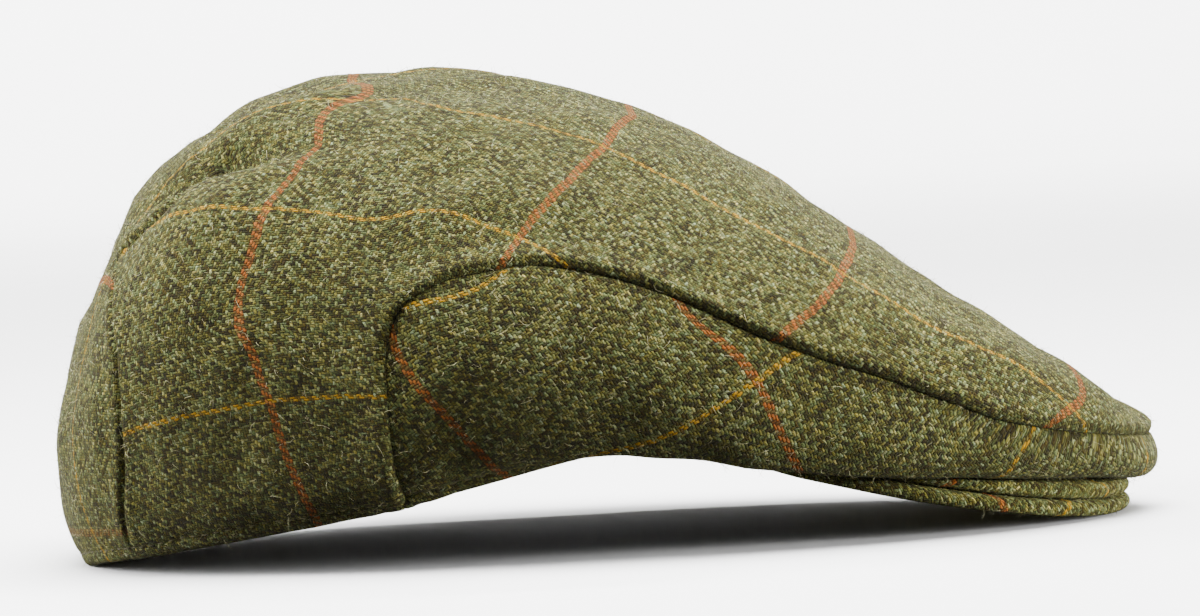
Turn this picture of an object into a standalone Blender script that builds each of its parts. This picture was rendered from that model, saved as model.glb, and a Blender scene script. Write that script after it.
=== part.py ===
"""Tweed flat cap, sewn from cloth panels, standing at rest on its back hem and on its peak.

Units are metres. +X points to the front (the peak), +Z up. The cap's length starts at x = 0 while it is worked out, and the finished part is centred on the origin with its lowest point at z = 0.
"""

import math

import bpy
import numpy as np
from mathutils import Vector
from mathutils.bvhtree import BVHTree

# Driving sizes
LENGTH = 0.2755
WIDTH = 0.190
HEIGHT = 0.1205
WALL = 0.0020  # one panel of tweed with its fused backing
HEM_WALL = 0.0032  # the turned-up hem is double
HEM_DEPTH = 0.010
SEAM_GAP = 0.0004  # open space between two panels at a seam
SEAM_PROUD = 0.0011  # the top's seam edge rolls over the side panels
SEAM_SUNK = 0.0007  # and the side panels dip under it
SEAM_ROLL = 0.009
DART_DEPTH = 0.0011
DART_HALF = 0.0022
PEAK_ROLL = 0.0042  # height of one of the two rolls on the peak's rim
PEAK_SET = 0.0006  # the peak starts this far outside the hem's edge
PEAK_GAP = 0.0004  # between the peak and the side panels over it
LOOK_ROUND = 0.0015  # the patch of cloth over the peak that is looked at
LOOK_AT_SEAM = 0.0003  # and at the peak's inner edge, which is sewn to the hem
LOOK_FROM = 0.020  # how far under the floor the look starts
PEAK_DROP = 0.0062  # the peak's middle leaves the hem this much lower
UP_RUN = 0.20  # cloth from the hem to the middle of the top, for a way of 1
ROUND_RUN = 0.115  # cloth round the crown, for a turn of one radian
CORNER_RUN = 0.045  # cloth between the dart and the upright seam
TURN_DEEP = 0.0006  # a panel's edge turns in by this much
TURN_WIDE = 0.0012
HEM_SOFT = 0.0014  # the hem's edge is rounded over this width

# Counts of mesh steps
BACK_STEPS = (0.0, 0.22, 0.42, 0.60, 0.76, 0.88, 0.955, 1.0, 1.045, 1.12, 1.24, 1.38, 1.52, 1.66, 1.80, 1.92, 2.0)
FRONT_COLUMNS = 26
LOW_ROWS = (0.0, 0.03, 0.10, 0.22, 0.36, 0.52, 0.68, 0.84, 0.95, 1.0)
HIGH_ROWS = (0.0, 0.018, 0.07, 0.16, 0.26, 0.36, 0.46, 0.56, 0.66, 0.75, 0.83, 0.90, 0.955)
PEAK_COLUMNS = 40

# Rings of the crown from the hem to the middle of the top.
# name, way up, back, front, widest place (shares of LENGTH), half width (share of WIDTH / 2),
# height at the back, side and front, dip between side and front (shares of HEIGHT), fullness of back and front
RINGS = (
    ("hem", 0.000, 0.0029, 0.7260, 0.3630, 0.8632, 0.0000, 0.1593, 0.3187, 0.0000, 0.10, 0.10),
    ("hem_roll", 0.045, -0.0044, 0.7840, 0.3702, 0.9000, 0.0332, 0.1768, 0.2788, -0.0100, 0.14, 0.10),
    ("overhang", 0.095, -0.0105, 0.8457, 0.3775, 0.9421, 0.0788, 0.1992, 0.2158, -0.0581, 0.20, 0.10),
    ("widest", 0.200, -0.0174, 0.9554, 0.3993, 1.0000, 0.2075, 0.3071, 0.0846, -0.0498, 0.35, 0.05),
    ("seam", 0.340, -0.0058, 0.9750, 0.4065, 0.9947, 0.3900, 0.4896, 0.1743, 0.0000, 0.55, 0.02),
    ("seam_edge", 0.385, 0.0025, 0.9612, 0.4065, 0.9789, 0.4523, 0.5427, 0.2224, 0.0000, 0.63, 0.03),
    ("shoulder", 0.500, 0.0309, 0.8748, 0.4065, 0.8947, 0.6141, 0.6598, 0.3585, 0.0000, 0.80, 0.08),
    ("upper", 0.660, 0.0944, 0.7368, 0.3956, 0.7053, 0.8008, 0.8050, 0.5809, 0.0000, 0.75, 0.12),
    ("top", 0.810, 0.1742, 0.5808, 0.3775, 0.4526, 0.9295, 0.9046, 0.8257, 0.0000, 0.45, 0.10),
    ("inner_top", 0.920, 0.2559, 0.4428, 0.3557, 0.2105, 0.9842, 0.9527, 0.9510, 0.0000, 0.15, 0.05),
    ("middle", 1.000, 0.3303, 0.3303, 0.3303, 0.0000, 0.9925, 0.9925, 0.9925, 0.0000, 0.00, 0.00),
)

# Soft folds: name, side (-1 right, 1 left, 0 both), width (share of WIDTH),
# points (share of LENGTH, of WIDTH / 2, of HEIGHT, rise as a share of HEIGHT)
FOLDS = (
    ("back valley", 0, 0.0684, ((0.1234, 0.0000, 0.8548, -0.0083), (0.1815, 0.0000, 0.9378, -0.0249), (0.2396, 0.0000, 0.9793, -0.0299), (0.2976, 0.0000, 0.9917, -0.0216), (0.3630, 0.0000, 0.9876, 0.0000))),
    ("near rim", -1, 0.0684, ((0.1307, -0.2737, 0.8631, 0.0033), (0.1815, -0.3053, 0.9129, 0.0116), (0.2396, -0.3158, 0.9295, 0.0100), (0.3049, -0.2316, 0.9585, 0.0025), (0.3630, -0.1684, 0.9544, 0.0000))),
    ("far rim", 1, 0.0737, ((0.1234, 0.2737, 0.8631, 0.0066), (0.1815, 0.3053, 0.9129, 0.0282), (0.2396, 0.2947, 0.9336, 0.0398), (0.3049, 0.2421, 0.9585, 0.0299), (0.3775, 0.1684, 0.9544, 0.0083), (0.4283, 0.1263, 0.9461, 0.0000))),
    ("dart crease", 0, 0.0474, ((0.0653, -0.2842, 0.7137, -0.0041), (0.0980, -0.3579, 0.7801, -0.0249), (0.1379, -0.4526, 0.8299, -0.0349), (0.1742, -0.5158, 0.8506, -0.0266), (0.2178, -0.5684, 0.8548, -0.0133), (0.2613, -0.5895, 0.8589, 0.0000))),
    ("back ridge", 0, 0.0526, ((0.0726, -0.4000, 0.7137, 0.0033), (0.1343, -0.6737, 0.7303, 0.0133), (0.1996, -0.7642, 0.7187, 0.0050))),
    ("side ridge", 0, 0.0474, ((0.2541, -0.8737, 0.6473, 0.0033), (0.3122, -0.8368, 0.7137, 0.0116), (0.3630, -0.8211, 0.7353, 0.0133), (0.4174, -0.8000, 0.7369, 0.0116), (0.4864, -0.8053, 0.6971, 0.0025))),
    ("side hollow", 0, 0.0579, ((0.2904, -0.7579, 0.7884, -0.0050), (0.3376, -0.7632, 0.7801, -0.0149), (0.3848, -0.7789, 0.7635, -0.0050))),
    ("seam hollow", 0, 0.0421, ((0.3339, -0.9158, 0.6390, -0.0033), (0.3702, -0.9053, 0.6639, -0.0116), (0.4138, -0.9053, 0.6556, -0.0033))),
)

# Seam between the top and a side panel, from the upright seam to the centre front: angle (degrees), way up
LONG_SEAM = ((74.0, 0.372), (78.0, 0.403), (83.0, 0.423), (88.0, 0.439), (92.2, 0.443), (96.0, 0.433), (99.8, 0.419), (103.2, 0.399), (106.5, 0.374), (109.8, 0.351), (113.2, 0.335), (117.0, 0.323), (121.0, 0.316), (125.2, 0.306), (129.8, 0.297), (134.5, 0.289), (140.2, 0.290), (147.0, 0.297), (156.8, 0.311), (165.8, 0.322), (180.0, 0.330))
# Upright side seam: way up, angle (degrees)
SIDE_SEAM = ((0.0, 77.3), (0.05, 76.2), (0.11, 74.5), (0.16, 73.0), (0.203, 72.0), (0.257, 71.3), (0.30, 71.2), (0.327, 71.7), (0.353, 72.6), (0.372, 74.0))
# Back corner dart: way up, angle (degrees), depth (share of DART_DEPTH)
DARTS = ((0.0, 31.0, 1.0), (0.037, 30.8, 1.0), (0.11, 30.5, 1.0), (0.233, 30.2, 1.0), (0.30, 29.0, 1.0), (0.373, 26.0, 1.0), (0.467, 19.0, 1.0), (0.527, 13.5, 1.0), (0.563, 12.5, 1.0), (0.603, 14.5, 1.1), (0.65, 19.5, 1.3), (0.68, 27.5, 1.0), (0.70, 33.0, 0.0), (1.0, 36.0, 0.0))

# Rim of the peak from the temple to the centre front, at the seam between its two rolls.
# step, x (share of LENGTH), half width (share of WIDTH / 2), height (share of HEIGHT), thickness (share of PEAK_ROLL)
PEAK_RIM = (
    (0.00, 0.5517, 0.7768, 0.2050, 0.333),
    (0.15, 0.6025, 0.7684, 0.1793, 0.548),
    (0.30, 0.6679, 0.7453, 0.1510, 0.881),
    (0.45, 0.7405, 0.7000, 0.1129, 1.000),
    (0.60, 0.8131, 0.6263, 0.0788, 1.000),
    (0.75, 0.8820, 0.4842, 0.0515, 1.000),
    (0.90, 0.9419, 0.2368, 0.0365, 1.000),
    (1.00, 0.9612, 0.0000, 0.0365, 1.000),
)
PEAK_START = 120.0  # angle at which the peak leaves the hem, in degrees
PEAK_STEPS = (0.0, 0.2, 0.4, 0.6, 0.8)
ROLL_ANGLES = (90.0, 60.0, 30.0, 0.0, -35.0, -70.0)

# Looks of the pieces: name, base colour, roughness
CLOTHS = {
    "crown_top": ((0.105, 0.098, 0.045, 1.0), 0.95),
    "side_gusset_right": ((0.080, 0.076, 0.034, 1.0), 0.95),
    "side_gusset_left": ((0.080, 0.076, 0.034, 1.0), 0.95),
    "peak_top": ((0.092, 0.084, 0.038, 1.0), 0.95),
    "peak_under": ((0.088, 0.080, 0.036, 1.0), 0.95),
}


def spline_matrix(knots):
    """Second derivatives of a natural cubic spline as a matrix on the values at its knots."""
    count, step = len(knots), np.diff(knots)
    left, right = np.eye(count), np.zeros((count, count))
    for i in range(1, count - 1):
        left[i, i - 1 : i + 2] = step[i - 1], 2 * (step[i - 1] + step[i]), step[i]
        right[i, i - 1 : i + 2] = 6 / step[i - 1], -6 / step[i - 1] - 6 / step[i], 6 / step[i]
    return np.linalg.solve(left, right)


def spline_weights(knots, at):
    """Weights of the knot values for every place asked for."""
    knots, at = np.asarray(knots, float), np.asarray(at, float)
    bend, eye = spline_matrix(knots), np.eye(len(knots))
    i = np.clip(np.searchsorted(knots, at, side="right") - 1, 0, len(knots) - 2)
    step = knots[i + 1] - knots[i]
    a, b = (knots[i + 1] - at) / step, (at - knots[i]) / step
    lines = a[..., None] * eye[i] + b[..., None] * eye[i + 1]
    curves = (a**3 - a)[..., None] * bend[i] + (b**3 - b)[..., None] * bend[i + 1]
    return lines + curves * (step**2)[..., None] / 6


def read_table(rows, column, at):
    """A column of a short table, read smoothly at any place of its first column."""
    rows = np.array(rows, float)
    inside = np.clip(at, rows[0, 0], rows[-1, 0])
    return spline_weights(rows[:, 0], inside) @ rows[:, column]


def ring_points(angle):
    """The point of every ring at each angle. 0 is the back, 90 degrees the wearer's right."""
    table = np.array([row[2:] for row in RINGS]).T
    back, front, widest = table[:3] * LENGTH
    half = table[3] * WIDTH / 2
    low, side, high, dip = table[4:8] * HEIGHT
    full_back, full_front = table[8:10]
    c, s = np.cos(angle)[..., None], np.sin(angle)[..., None]
    behind = c > 0
    x = widest - np.where(behind, widest - back, front - widest) * c
    y = -half * s * (1 + np.where(behind, full_back * c * c, full_front) * c * c)
    z = side * (1 - c * c) + low * (c * c + c) / 2 + high * (c * c - c) / 2
    z = z + np.where(behind, 0, dip * 6.75 * c * c * (1 + c))
    return np.stack([x, y, z], -1)


def smooth_crown(angle, way):
    """The crown without its folds. The rings run on over the middle, so the top has no peak."""
    angle, way = np.broadcast_arrays(np.asarray(angle, float), np.asarray(way, float))
    up = np.array([row[1] for row in RINGS])
    knots = np.concatenate([up, 2 - up[-2:-5:-1]])
    own, other = ring_points(angle), ring_points(angle + math.pi)[..., -2:-5:-1, :]
    points = np.concatenate([own, other], -2)
    return np.einsum("...k,...kc->...c", spline_weights(knots, way), points)


def unit(vectors):
    return vectors / np.maximum(np.linalg.norm(vectors, axis=-1, keepdims=True), 1e-12)


def crown_normal(angle, way):
    """Outward normal of the smooth crown."""
    small = 2e-3
    inner = np.minimum(way, 0.985)  # the grid closes to a point at 1
    across = smooth_crown(angle + small, inner) - smooth_crown(angle - small, inner)
    along = smooth_crown(angle, inner + small) - smooth_crown(angle, inner - small)
    top = np.clip((np.asarray(way) - 0.985) / 0.015, 0, 1)[..., None]
    return unit(unit(np.cross(across, along)) * (1 - top) + np.array([0, 0, 1.0]) * top)


def fold_rise(points):
    """Height that the folds add to the crown at each point."""
    rise = np.zeros(points.shape[:-1])
    scale = np.array([LENGTH, WIDTH / 2, HEIGHT, HEIGHT])
    for _, side, width, rows in FOLDS:
        line = np.array(rows) * scale
        sides = (side,) if side or not line[:, 1].any() else (-1, 1)
        for one in sides:
            path = line.copy()
            if side == 0 and one == 1:
                path[:, 1] *= -1
            best = np.full(points.shape[:-1], np.inf)
            height = np.zeros(points.shape[:-1])
            for start, end in zip(path[:-1], path[1:]):
                run = end[:3] - start[:3]
                part = np.clip(((points - start[:3]) @ run) / (run @ run), 0, 1)
                away = np.linalg.norm(points - start[:3] - part[..., None] * run, axis=-1)
                nearer = away < best
                height = np.where(nearer, start[3] + part * (end[3] - start[3]), height)
                best = np.minimum(best, away)
            rise = rise + height * np.exp(-((best / (width * WIDTH)) ** 2))
    return rise


def crown(angle, way):
    """The crown's surface with its folds, and its outward normal."""
    base, normal = smooth_crown(angle, way), crown_normal(angle, way)
    return base + normal * fold_rise(base)[..., None], normal


def long_seam(degrees):
    return read_table(LONG_SEAM, 1, degrees)


def side_seam(way):
    return read_table(SIDE_SEAM, 1, way)


def dart_angle(way):
    rows = np.array(DARTS)
    return np.interp(way, rows[:, 0], rows[:, 1])


def dart_rise(angle, way):
    """The dart's groove: how far the surface drops at each angle."""
    rows = np.array(DARTS)
    middle = np.radians(dart_angle(way))
    reach = np.linalg.norm(smooth_crown(angle + 1e-3, way) - smooth_crown(angle - 1e-3, way), axis=-1) / 2e-3
    away = np.minimum(np.abs(angle - middle), np.abs(angle + middle)) * reach
    return -DART_DEPTH * np.interp(way, rows[:, 0], rows[:, 2]) * np.exp(-((away / DART_HALF) ** 2))


def shell(outer, inner, faces):
    """A closed body from an outer and an inner skin with the same faces."""
    count = len(outer)
    edges = {}
    for face in faces:
        for a, b in zip(face, face[1:] + face[:1]):
            if (b, a) in edges:
                del edges[(b, a)]
            else:
                edges[(a, b)] = True
    skin = [tuple(face) for face in faces]
    back = [tuple(i + count for i in reversed(face)) for face in faces]
    rim = [(b, a, a + count, b + count) for a, b in edges]
    return np.vstack([outer, inner]), skin + back + rim


def add_piece(name, points, faces):
    """Makes one named object with its own material, centred and on the floor."""
    mesh = bpy.data.meshes.new(name)
    mesh.from_pydata([tuple(p) for p in points], [], faces)
    mesh.validate()
    piece = bpy.data.objects.new(name, mesh)
    bpy.context.scene.collection.objects.link(piece)
    colour, roughness = CLOTHS[name]
    material = bpy.data.materials.new(name)
    material.use_nodes = True
    shader = material.node_tree.nodes["Principled BSDF"]
    shader.inputs["Base Color"].default_value = colour
    shader.inputs["Roughness"].default_value = roughness
    mesh.materials.append(material)
    return piece


def wall_at(way_m):
    """Thickness of the cloth at a distance from the hem: the turned-up hem is double."""
    return np.where(way_m < HEM_DEPTH, HEM_WALL, WALL)


def hem_outward(angle):
    """The way out of the opening in the hem's own plane, so that the rim of the opening is flat."""
    ends = smooth_crown(np.array([0.0, math.pi]), 0.0)
    run = unit(ends[1] - ends[0])
    plane = np.array([-run[2], 0.0, run[0]])
    along = smooth_crown(angle + 1e-3, 0.0) - smooth_crown(angle - 1e-3, 0.0)
    out = unit(np.cross(along, plane))
    away = smooth_crown(angle, 0.0) - ends.mean(0)
    return out * np.sign((out * away).sum(-1))[..., None]


def skins(angle, way, proud, from_edge):
    """Outer and inner points of a panel.

    proud is the rise of the outer skin near a seam, from_edge the distance to the nearest seam.
    """
    surface, normal = crown(angle, way)
    start, _ = crown(angle, way * 0)
    up = np.linalg.norm(surface - start, axis=-1)
    rise = proud * np.exp(-((from_edge / SEAM_ROLL) ** 2)) + dart_rise(angle, way)
    turned = np.exp(-((from_edge / TURN_WIDE) ** 2)) * TURN_DEEP
    hem = np.exp(-((up / HEM_SOFT) ** 2))[..., None]
    direction = unit(normal * (1 - hem) + hem_outward(angle) * hem)
    outer = surface + direction * ((rise - turned) * (1 - hem[..., 0]))[..., None]
    inner = surface - direction * wall_at(up)[..., None]
    return outer, inner


def front_angles():
    """Angles of the columns in front of the side seam, on the right side, in degrees."""
    step = np.linspace(0, 1, FRONT_COLUMNS + 1)
    return LONG_SEAM[0][0] + (180.0 - LONG_SEAM[0][0]) * step


def make_crown_top():
    """The one-piece top: a lower zone behind the side seams and an upper zone all round."""
    steps = np.array(BACK_STEPS)
    back = np.concatenate([-steps[:0:-1], steps])
    front = front_angles()[1:]
    columns = len(back)
    seam_way = LONG_SEAM[0][1]
    gap_way, gap_angle = SEAM_GAP / 2 / UP_RUN, math.degrees(SEAM_GAP / 2 / ROUND_RUN)

    def back_angles(way):
        dart, side = dart_angle(way), side_seam(np.minimum(way, seam_way)) - gap_angle
        size = np.abs(back)
        return np.sign(back) * np.where(size < 1, size * dart, dart + (size - 1) * (side - dart))

    rows, outer, inner = [], [], []

    def add_row(degrees, way, from_edge):
        angle = np.radians(degrees)
        out, into = skins(angle, np.broadcast_to(way, angle.shape).astype(float), SEAM_PROUD, from_edge)
        first = sum(len(o) for o in outer)
        outer.append(out)
        inner.append(into)
        rows.append(list(range(first, first + len(angle))))

    far = 1.0
    for share in LOW_ROWS[:-1]:
        way = seam_way * share
        degrees = back_angles(way)
        edge = (side_seam(way) - gap_angle - np.abs(degrees)) * math.radians(1) * ROUND_RUN
        add_row(degrees, way, edge)
    around = np.concatenate([front, 360 - front[-2::-1]])  # the columns in front of the side seams
    folded = np.minimum(around, 360 - around)
    edge_front = long_seam(folded) + gap_way
    for share in HIGH_ROWS:
        way_back = seam_way + (1 - seam_way) * share
        way_front = edge_front + (1 - edge_front) * share
        degrees = np.concatenate([back_angles(way_back), around])
        way = np.concatenate([np.full(columns, way_back), way_front])
        corner = np.where(np.abs(back) > 1.98, 0.0, (2.0 - np.abs(back)) * CORNER_RUN)
        edge = np.concatenate([np.hypot(corner, (way_back - seam_way) * UP_RUN), (way_front - edge_front) * UP_RUN])
        add_row(degrees, way, edge)
    middle_out, middle_in = skins(np.zeros(1), np.ones(1), 0.0, np.full(1, far))
    outer.append(middle_out)
    inner.append(middle_in)
    middle = sum(len(o) for o in outer) - 1
    faces = []
    low = len(LOW_ROWS) - 1
    for lower, upper in zip(rows[:low], rows[1 : low + 1]):
        for i in range(columns - 1):
            faces.append([lower[i], lower[i + 1], upper[i + 1], upper[i]])
    for lower, upper in zip(rows[low:-1], rows[low + 1 :]):
        for i in range(len(lower)):
            j = (i + 1) % len(lower)
            faces.append([lower[i], lower[j], upper[j], upper[i]])
    last = rows[-1]
    for i in range(len(last)):
        faces.append([last[i], last[(i + 1) % len(last)], middle])
    points, faces = shell(np.vstack(outer), np.vstack(inner), faces)
    return add_piece("crown_top", points, faces)


def gusset_grid():
    """Angles, ways and seam distances of a side panel's grid on the right side."""
    top = front_angles()
    gap_way, gap_angle = SEAM_GAP / 2 / UP_RUN, math.degrees(SEAM_GAP / 2 / ROUND_RUN)
    share = np.array(LOW_ROWS)[:, None]
    along = np.linspace(0, 1, FRONT_COLUMNS + 1)[None, :]
    edge_way = long_seam(top)[None, :] - gap_way
    way = share * edge_way
    first = side_seam(share * LONG_SEAM[0][1])
    degrees = top[None, :] + (first - top[0]) * (1 - along) ** 2
    degrees = degrees + gap_angle * (1 - along) - gap_angle * 1.3 * along
    from_top = (edge_way - way) * UP_RUN
    from_side = (degrees - degrees[:, :1]) * math.radians(1) * ROUND_RUN
    return degrees, way, np.minimum(from_top, from_side)


def make_gusset(name, side):
    """A side panel. side is 1 for the wearer's right, which the camera sees, and -1 for the left."""
    degrees, way, edge = gusset_grid()
    outer, inner = skins(np.radians(degrees) * side, way, -SEAM_SUNK, edge)
    height, width = degrees.shape
    faces = []
    for i in range(height - 1):
        for j in range(width - 1):
            a, b = i * width + j, (i + 1) * width + j
            quad = [a, a + 1, b + 1, b]
            faces.append(quad if side > 0 else quad[::-1])
    points, faces = shell(outer.reshape(-1, 3), inner.reshape(-1, 3), faces)
    return add_piece(name, points, faces)


def underside(pieces):
    """A tree of the side panels, to find the cloth that lies over the peak."""
    points, faces = [], []
    for piece in pieces:
        first = len(points)
        points += [v.co.copy() for v in piece.data.vertices]
        faces += [[i + first for i in p.vertices] for p in piece.data.polygons]
    return BVHTree.FromPolygons(points, faces)


def cloth_above(tree, point, look):
    """Height of the lowest cloth over a small patch round a point, seen from well under the peak."""
    heights = [math.inf]
    for step in range(9):
        reach = 0.0 if step == 8 else look
        turn = math.pi / 4 * step
        start = Vector((point[0] + reach * math.cos(turn), point[1] + reach * math.sin(turn), -LOOK_FROM))
        hit = tree.ray_cast(start, Vector((0, 0, 1)), LOOK_FROM + HEIGHT)
        if hit[0] is not None:
            heights.append(hit[0].z)
    return min(heights)


def peak_frame():
    """Inner edge, rim, and thickness of the peak for each column from right to left."""
    step = np.linspace(-1, 1, PEAK_COLUMNS + 1)
    place = 1 - np.abs(step)
    degrees = PEAK_START + (180 - PEAK_START) * place
    angle = np.radians(degrees) * np.where(step > 0, -1, 1)
    hem, _ = crown(angle, np.zeros_like(angle))
    over = [(2 - row[0], row[1], -row[2], row[3], row[4]) for row in PEAK_RIM[-2::-1]]
    table = PEAK_RIM + tuple(over)  # the table runs on past the front, so the rim is round there
    rim = np.stack([read_table(table, c, place) for c in (1, 2, 3)], -1) * (LENGTH, -WIDTH / 2, HEIGHT)
    rim[:, 1] *= np.where(step > 0, -1, 1)
    inner = hem + hem_outward(angle) * PEAK_SET
    half = read_table(table, 4, place) * PEAK_ROLL
    return inner, rim, half


def peak_sections(tree):
    """Cross sections of the peak's two cloths, each a closed loop of points."""
    inner, rim, half = peak_frame()
    tops, unders = [], []
    for start, end, thick in zip(inner, rim, half):
        flat = np.array([end[0] - start[0], end[1] - start[1], 0.0])
        reach = np.linalg.norm(flat)
        out = flat / reach
        roll = min(thick * 0.62, reach * 0.35)
        line = []
        for share in PEAK_STEPS:
            spot = start + out * (reach - roll) * share
            height = start[2] - PEAK_DROP + (end[2] - start[2] + PEAK_DROP) * share**1.15
            line.append((spot, height))
        up, down = [], []
        for row, (spot, height) in enumerate(line):
            over = cloth_above(tree, spot, LOOK_ROUND if row else LOOK_AT_SEAM) - PEAK_GAP
            up.append(np.array([spot[0], spot[1], min(height + thick, over) if row else over]))
            down.append(np.array([spot[0], spot[1], height - thick]))
        arc_up, arc_down = [], []
        centre = start + out * (reach - roll)
        for angle in ROLL_ANGLES:
            c, s = math.cos(math.radians(angle)), math.sin(math.radians(angle))
            spot = centre + out * roll * c
            rise = thick * 0.5 * (1 + s)
            over = cloth_above(tree, spot, LOOK_ROUND) - PEAK_GAP
            arc_up.append(np.array([spot[0], spot[1], min(end[2] + max(rise, SEAM_GAP / 2), over)]))
            arc_down.append(np.array([spot[0], spot[1], end[2] - max(rise, SEAM_GAP / 2)]))
        seam_up = [np.array([s[0], s[1], h + SEAM_GAP / 2]) for s, h in reversed(line)]
        seam_down = [np.array([s[0], s[1], h - SEAM_GAP / 2]) for s, h in reversed(line)]
        tops.append(up + arc_up + seam_up)
        unders.append(down + arc_down + seam_down)
    return np.array(tops), np.array(unders)


def make_peak_cloth(name, sections, flip):
    """A closed body from the row of cross sections."""
    columns, around = sections.shape[:2]
    faces = []
    for i in range(columns - 1):
        for j in range(around):
            k = (j + 1) % around
            quad = [i * around + j, (i + 1) * around + j, (i + 1) * around + k, i * around + k]
            faces.append(quad[::-1] if flip else quad)
    first = list(range(around))
    last = [(columns - 1) * around + j for j in range(around)]
    ends = [first, last[::-1]]
    faces += [e[::-1] if flip else e for e in ends]
    return add_piece(name, sections.reshape(-1, 3), faces)


def make_outward(piece):
    """Turns a piece's faces outward if its volume comes out negative."""
    mesh = piece.data
    mesh.calc_loop_triangles()
    volume = 0.0
    for tri in mesh.loop_triangles:
        a, b, c = (mesh.vertices[i].co for i in tri.vertices)
        volume += a.dot(b.cross(c)) / 6
    if volume < 0:
        mesh.flip_normals()


def settle(pieces):
    """Centres the cap over the origin and stands it on the floor."""
    corners = np.array([v.co[:] for piece in pieces for v in piece.data.vertices])
    low, high = corners.min(0), corners.max(0)
    shift = Vector((-(low[0] + high[0]) / 2, -(low[1] + high[1]) / 2, -low[2]))
    for piece in pieces:
        for vertex in piece.data.vertices:
            vertex.co += shift
        piece.data.update()


def main():
    for thing in list(bpy.data.objects):
        bpy.data.objects.remove(thing, do_unlink=True)
    top = make_crown_top()
    right = make_gusset("side_gusset_right", 1)
    left = make_gusset("side_gusset_left", -1)
    upper, lower = peak_sections(underside([right, left]))
    cloths = [make_peak_cloth("peak_top", upper, False), make_peak_cloth("peak_under", lower, True)]
    pieces = [top, right, left] + cloths
    for piece in pieces:
        make_outward(piece)
    settle(pieces)


if __name__ == "__main__":
    main()
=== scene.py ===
"""Looks of a tweed flat cap: sewn panels, a short curved peak, hem stitching, woven check and loose wool.

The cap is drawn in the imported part's own frame: metres, +X to the front, +Z up, on the floor at z = 0.
"""

import logging
import math
from dataclasses import dataclass
from enum import Enum

import bpy
import numpy as np
from mathutils import Matrix, Vector
from mathutils.bvhtree import BVHTree


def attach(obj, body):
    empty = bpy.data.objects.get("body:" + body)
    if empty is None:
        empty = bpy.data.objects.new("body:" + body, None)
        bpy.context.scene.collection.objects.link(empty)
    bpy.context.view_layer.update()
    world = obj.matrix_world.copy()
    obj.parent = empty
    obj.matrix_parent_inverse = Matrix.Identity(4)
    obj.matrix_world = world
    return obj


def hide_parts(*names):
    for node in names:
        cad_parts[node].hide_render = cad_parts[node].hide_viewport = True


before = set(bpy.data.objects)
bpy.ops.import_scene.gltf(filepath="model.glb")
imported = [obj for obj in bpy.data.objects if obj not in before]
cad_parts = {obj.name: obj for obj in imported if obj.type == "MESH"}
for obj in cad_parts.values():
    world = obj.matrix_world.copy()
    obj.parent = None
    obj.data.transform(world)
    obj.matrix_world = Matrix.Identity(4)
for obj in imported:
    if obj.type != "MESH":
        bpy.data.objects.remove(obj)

LOG = logging.getLogger("tweed_cap")
Array = np.ndarray


class Slot(Enum):
    """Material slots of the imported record."""

    TOP = "tweed_top"
    SIDE = "tweed_side"
    PEAK = "tweed_peak"


class Side(Enum):
    """Sides of the cap, as the sign of an angle round the crown."""

    RIGHT = 1
    LEFT = -1


class Line(Enum):
    """The two coloured lines of the check, by the cloth coordinate that stays the same along them."""

    ORANGE = 0
    YELLOW = 1


def unit(vectors: Array) -> Array:
    """Returns the vectors at length one."""
    return vectors / np.maximum(np.linalg.norm(vectors, axis=-1, keepdims=True), 1e-12)


def smooth_step(low: float, high: float, at: Array) -> Array:
    """Returns a smooth rise from 0 at low to 1 at high."""
    share = np.clip((np.asarray(at, float) - low) / (high - low), 0, 1)
    return share * share * (3 - 2 * share)


def ladder(total: float, count: int, fine_low: tuple = (), fine_high: tuple = ()) -> Array:
    """Sets out rising shares from 0 to 1, with fine steps at both ends.

    Args:
        total: The whole length in metres.
        count: Even steps in the middle.
        fine_low: Lengths of the steps at the start.
        fine_high: Lengths of the steps at the end, from the end inward.

    Returns:
        The shares.
    """
    low = np.cumsum((0.0, *fine_low)) / total
    high = 1 - np.cumsum((0.0, *fine_high))[::-1] / total
    return np.concatenate([low[:-1], np.linspace(low[-1], high[0], count + 1), high[1:]])


HEM_STEPS = (0.0005,) * 10 + (0.0008, 0.0012)
SEAM_STEPS = (0.0004,) * 8 + (0.0006, 0.0009, 0.0013)


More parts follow.
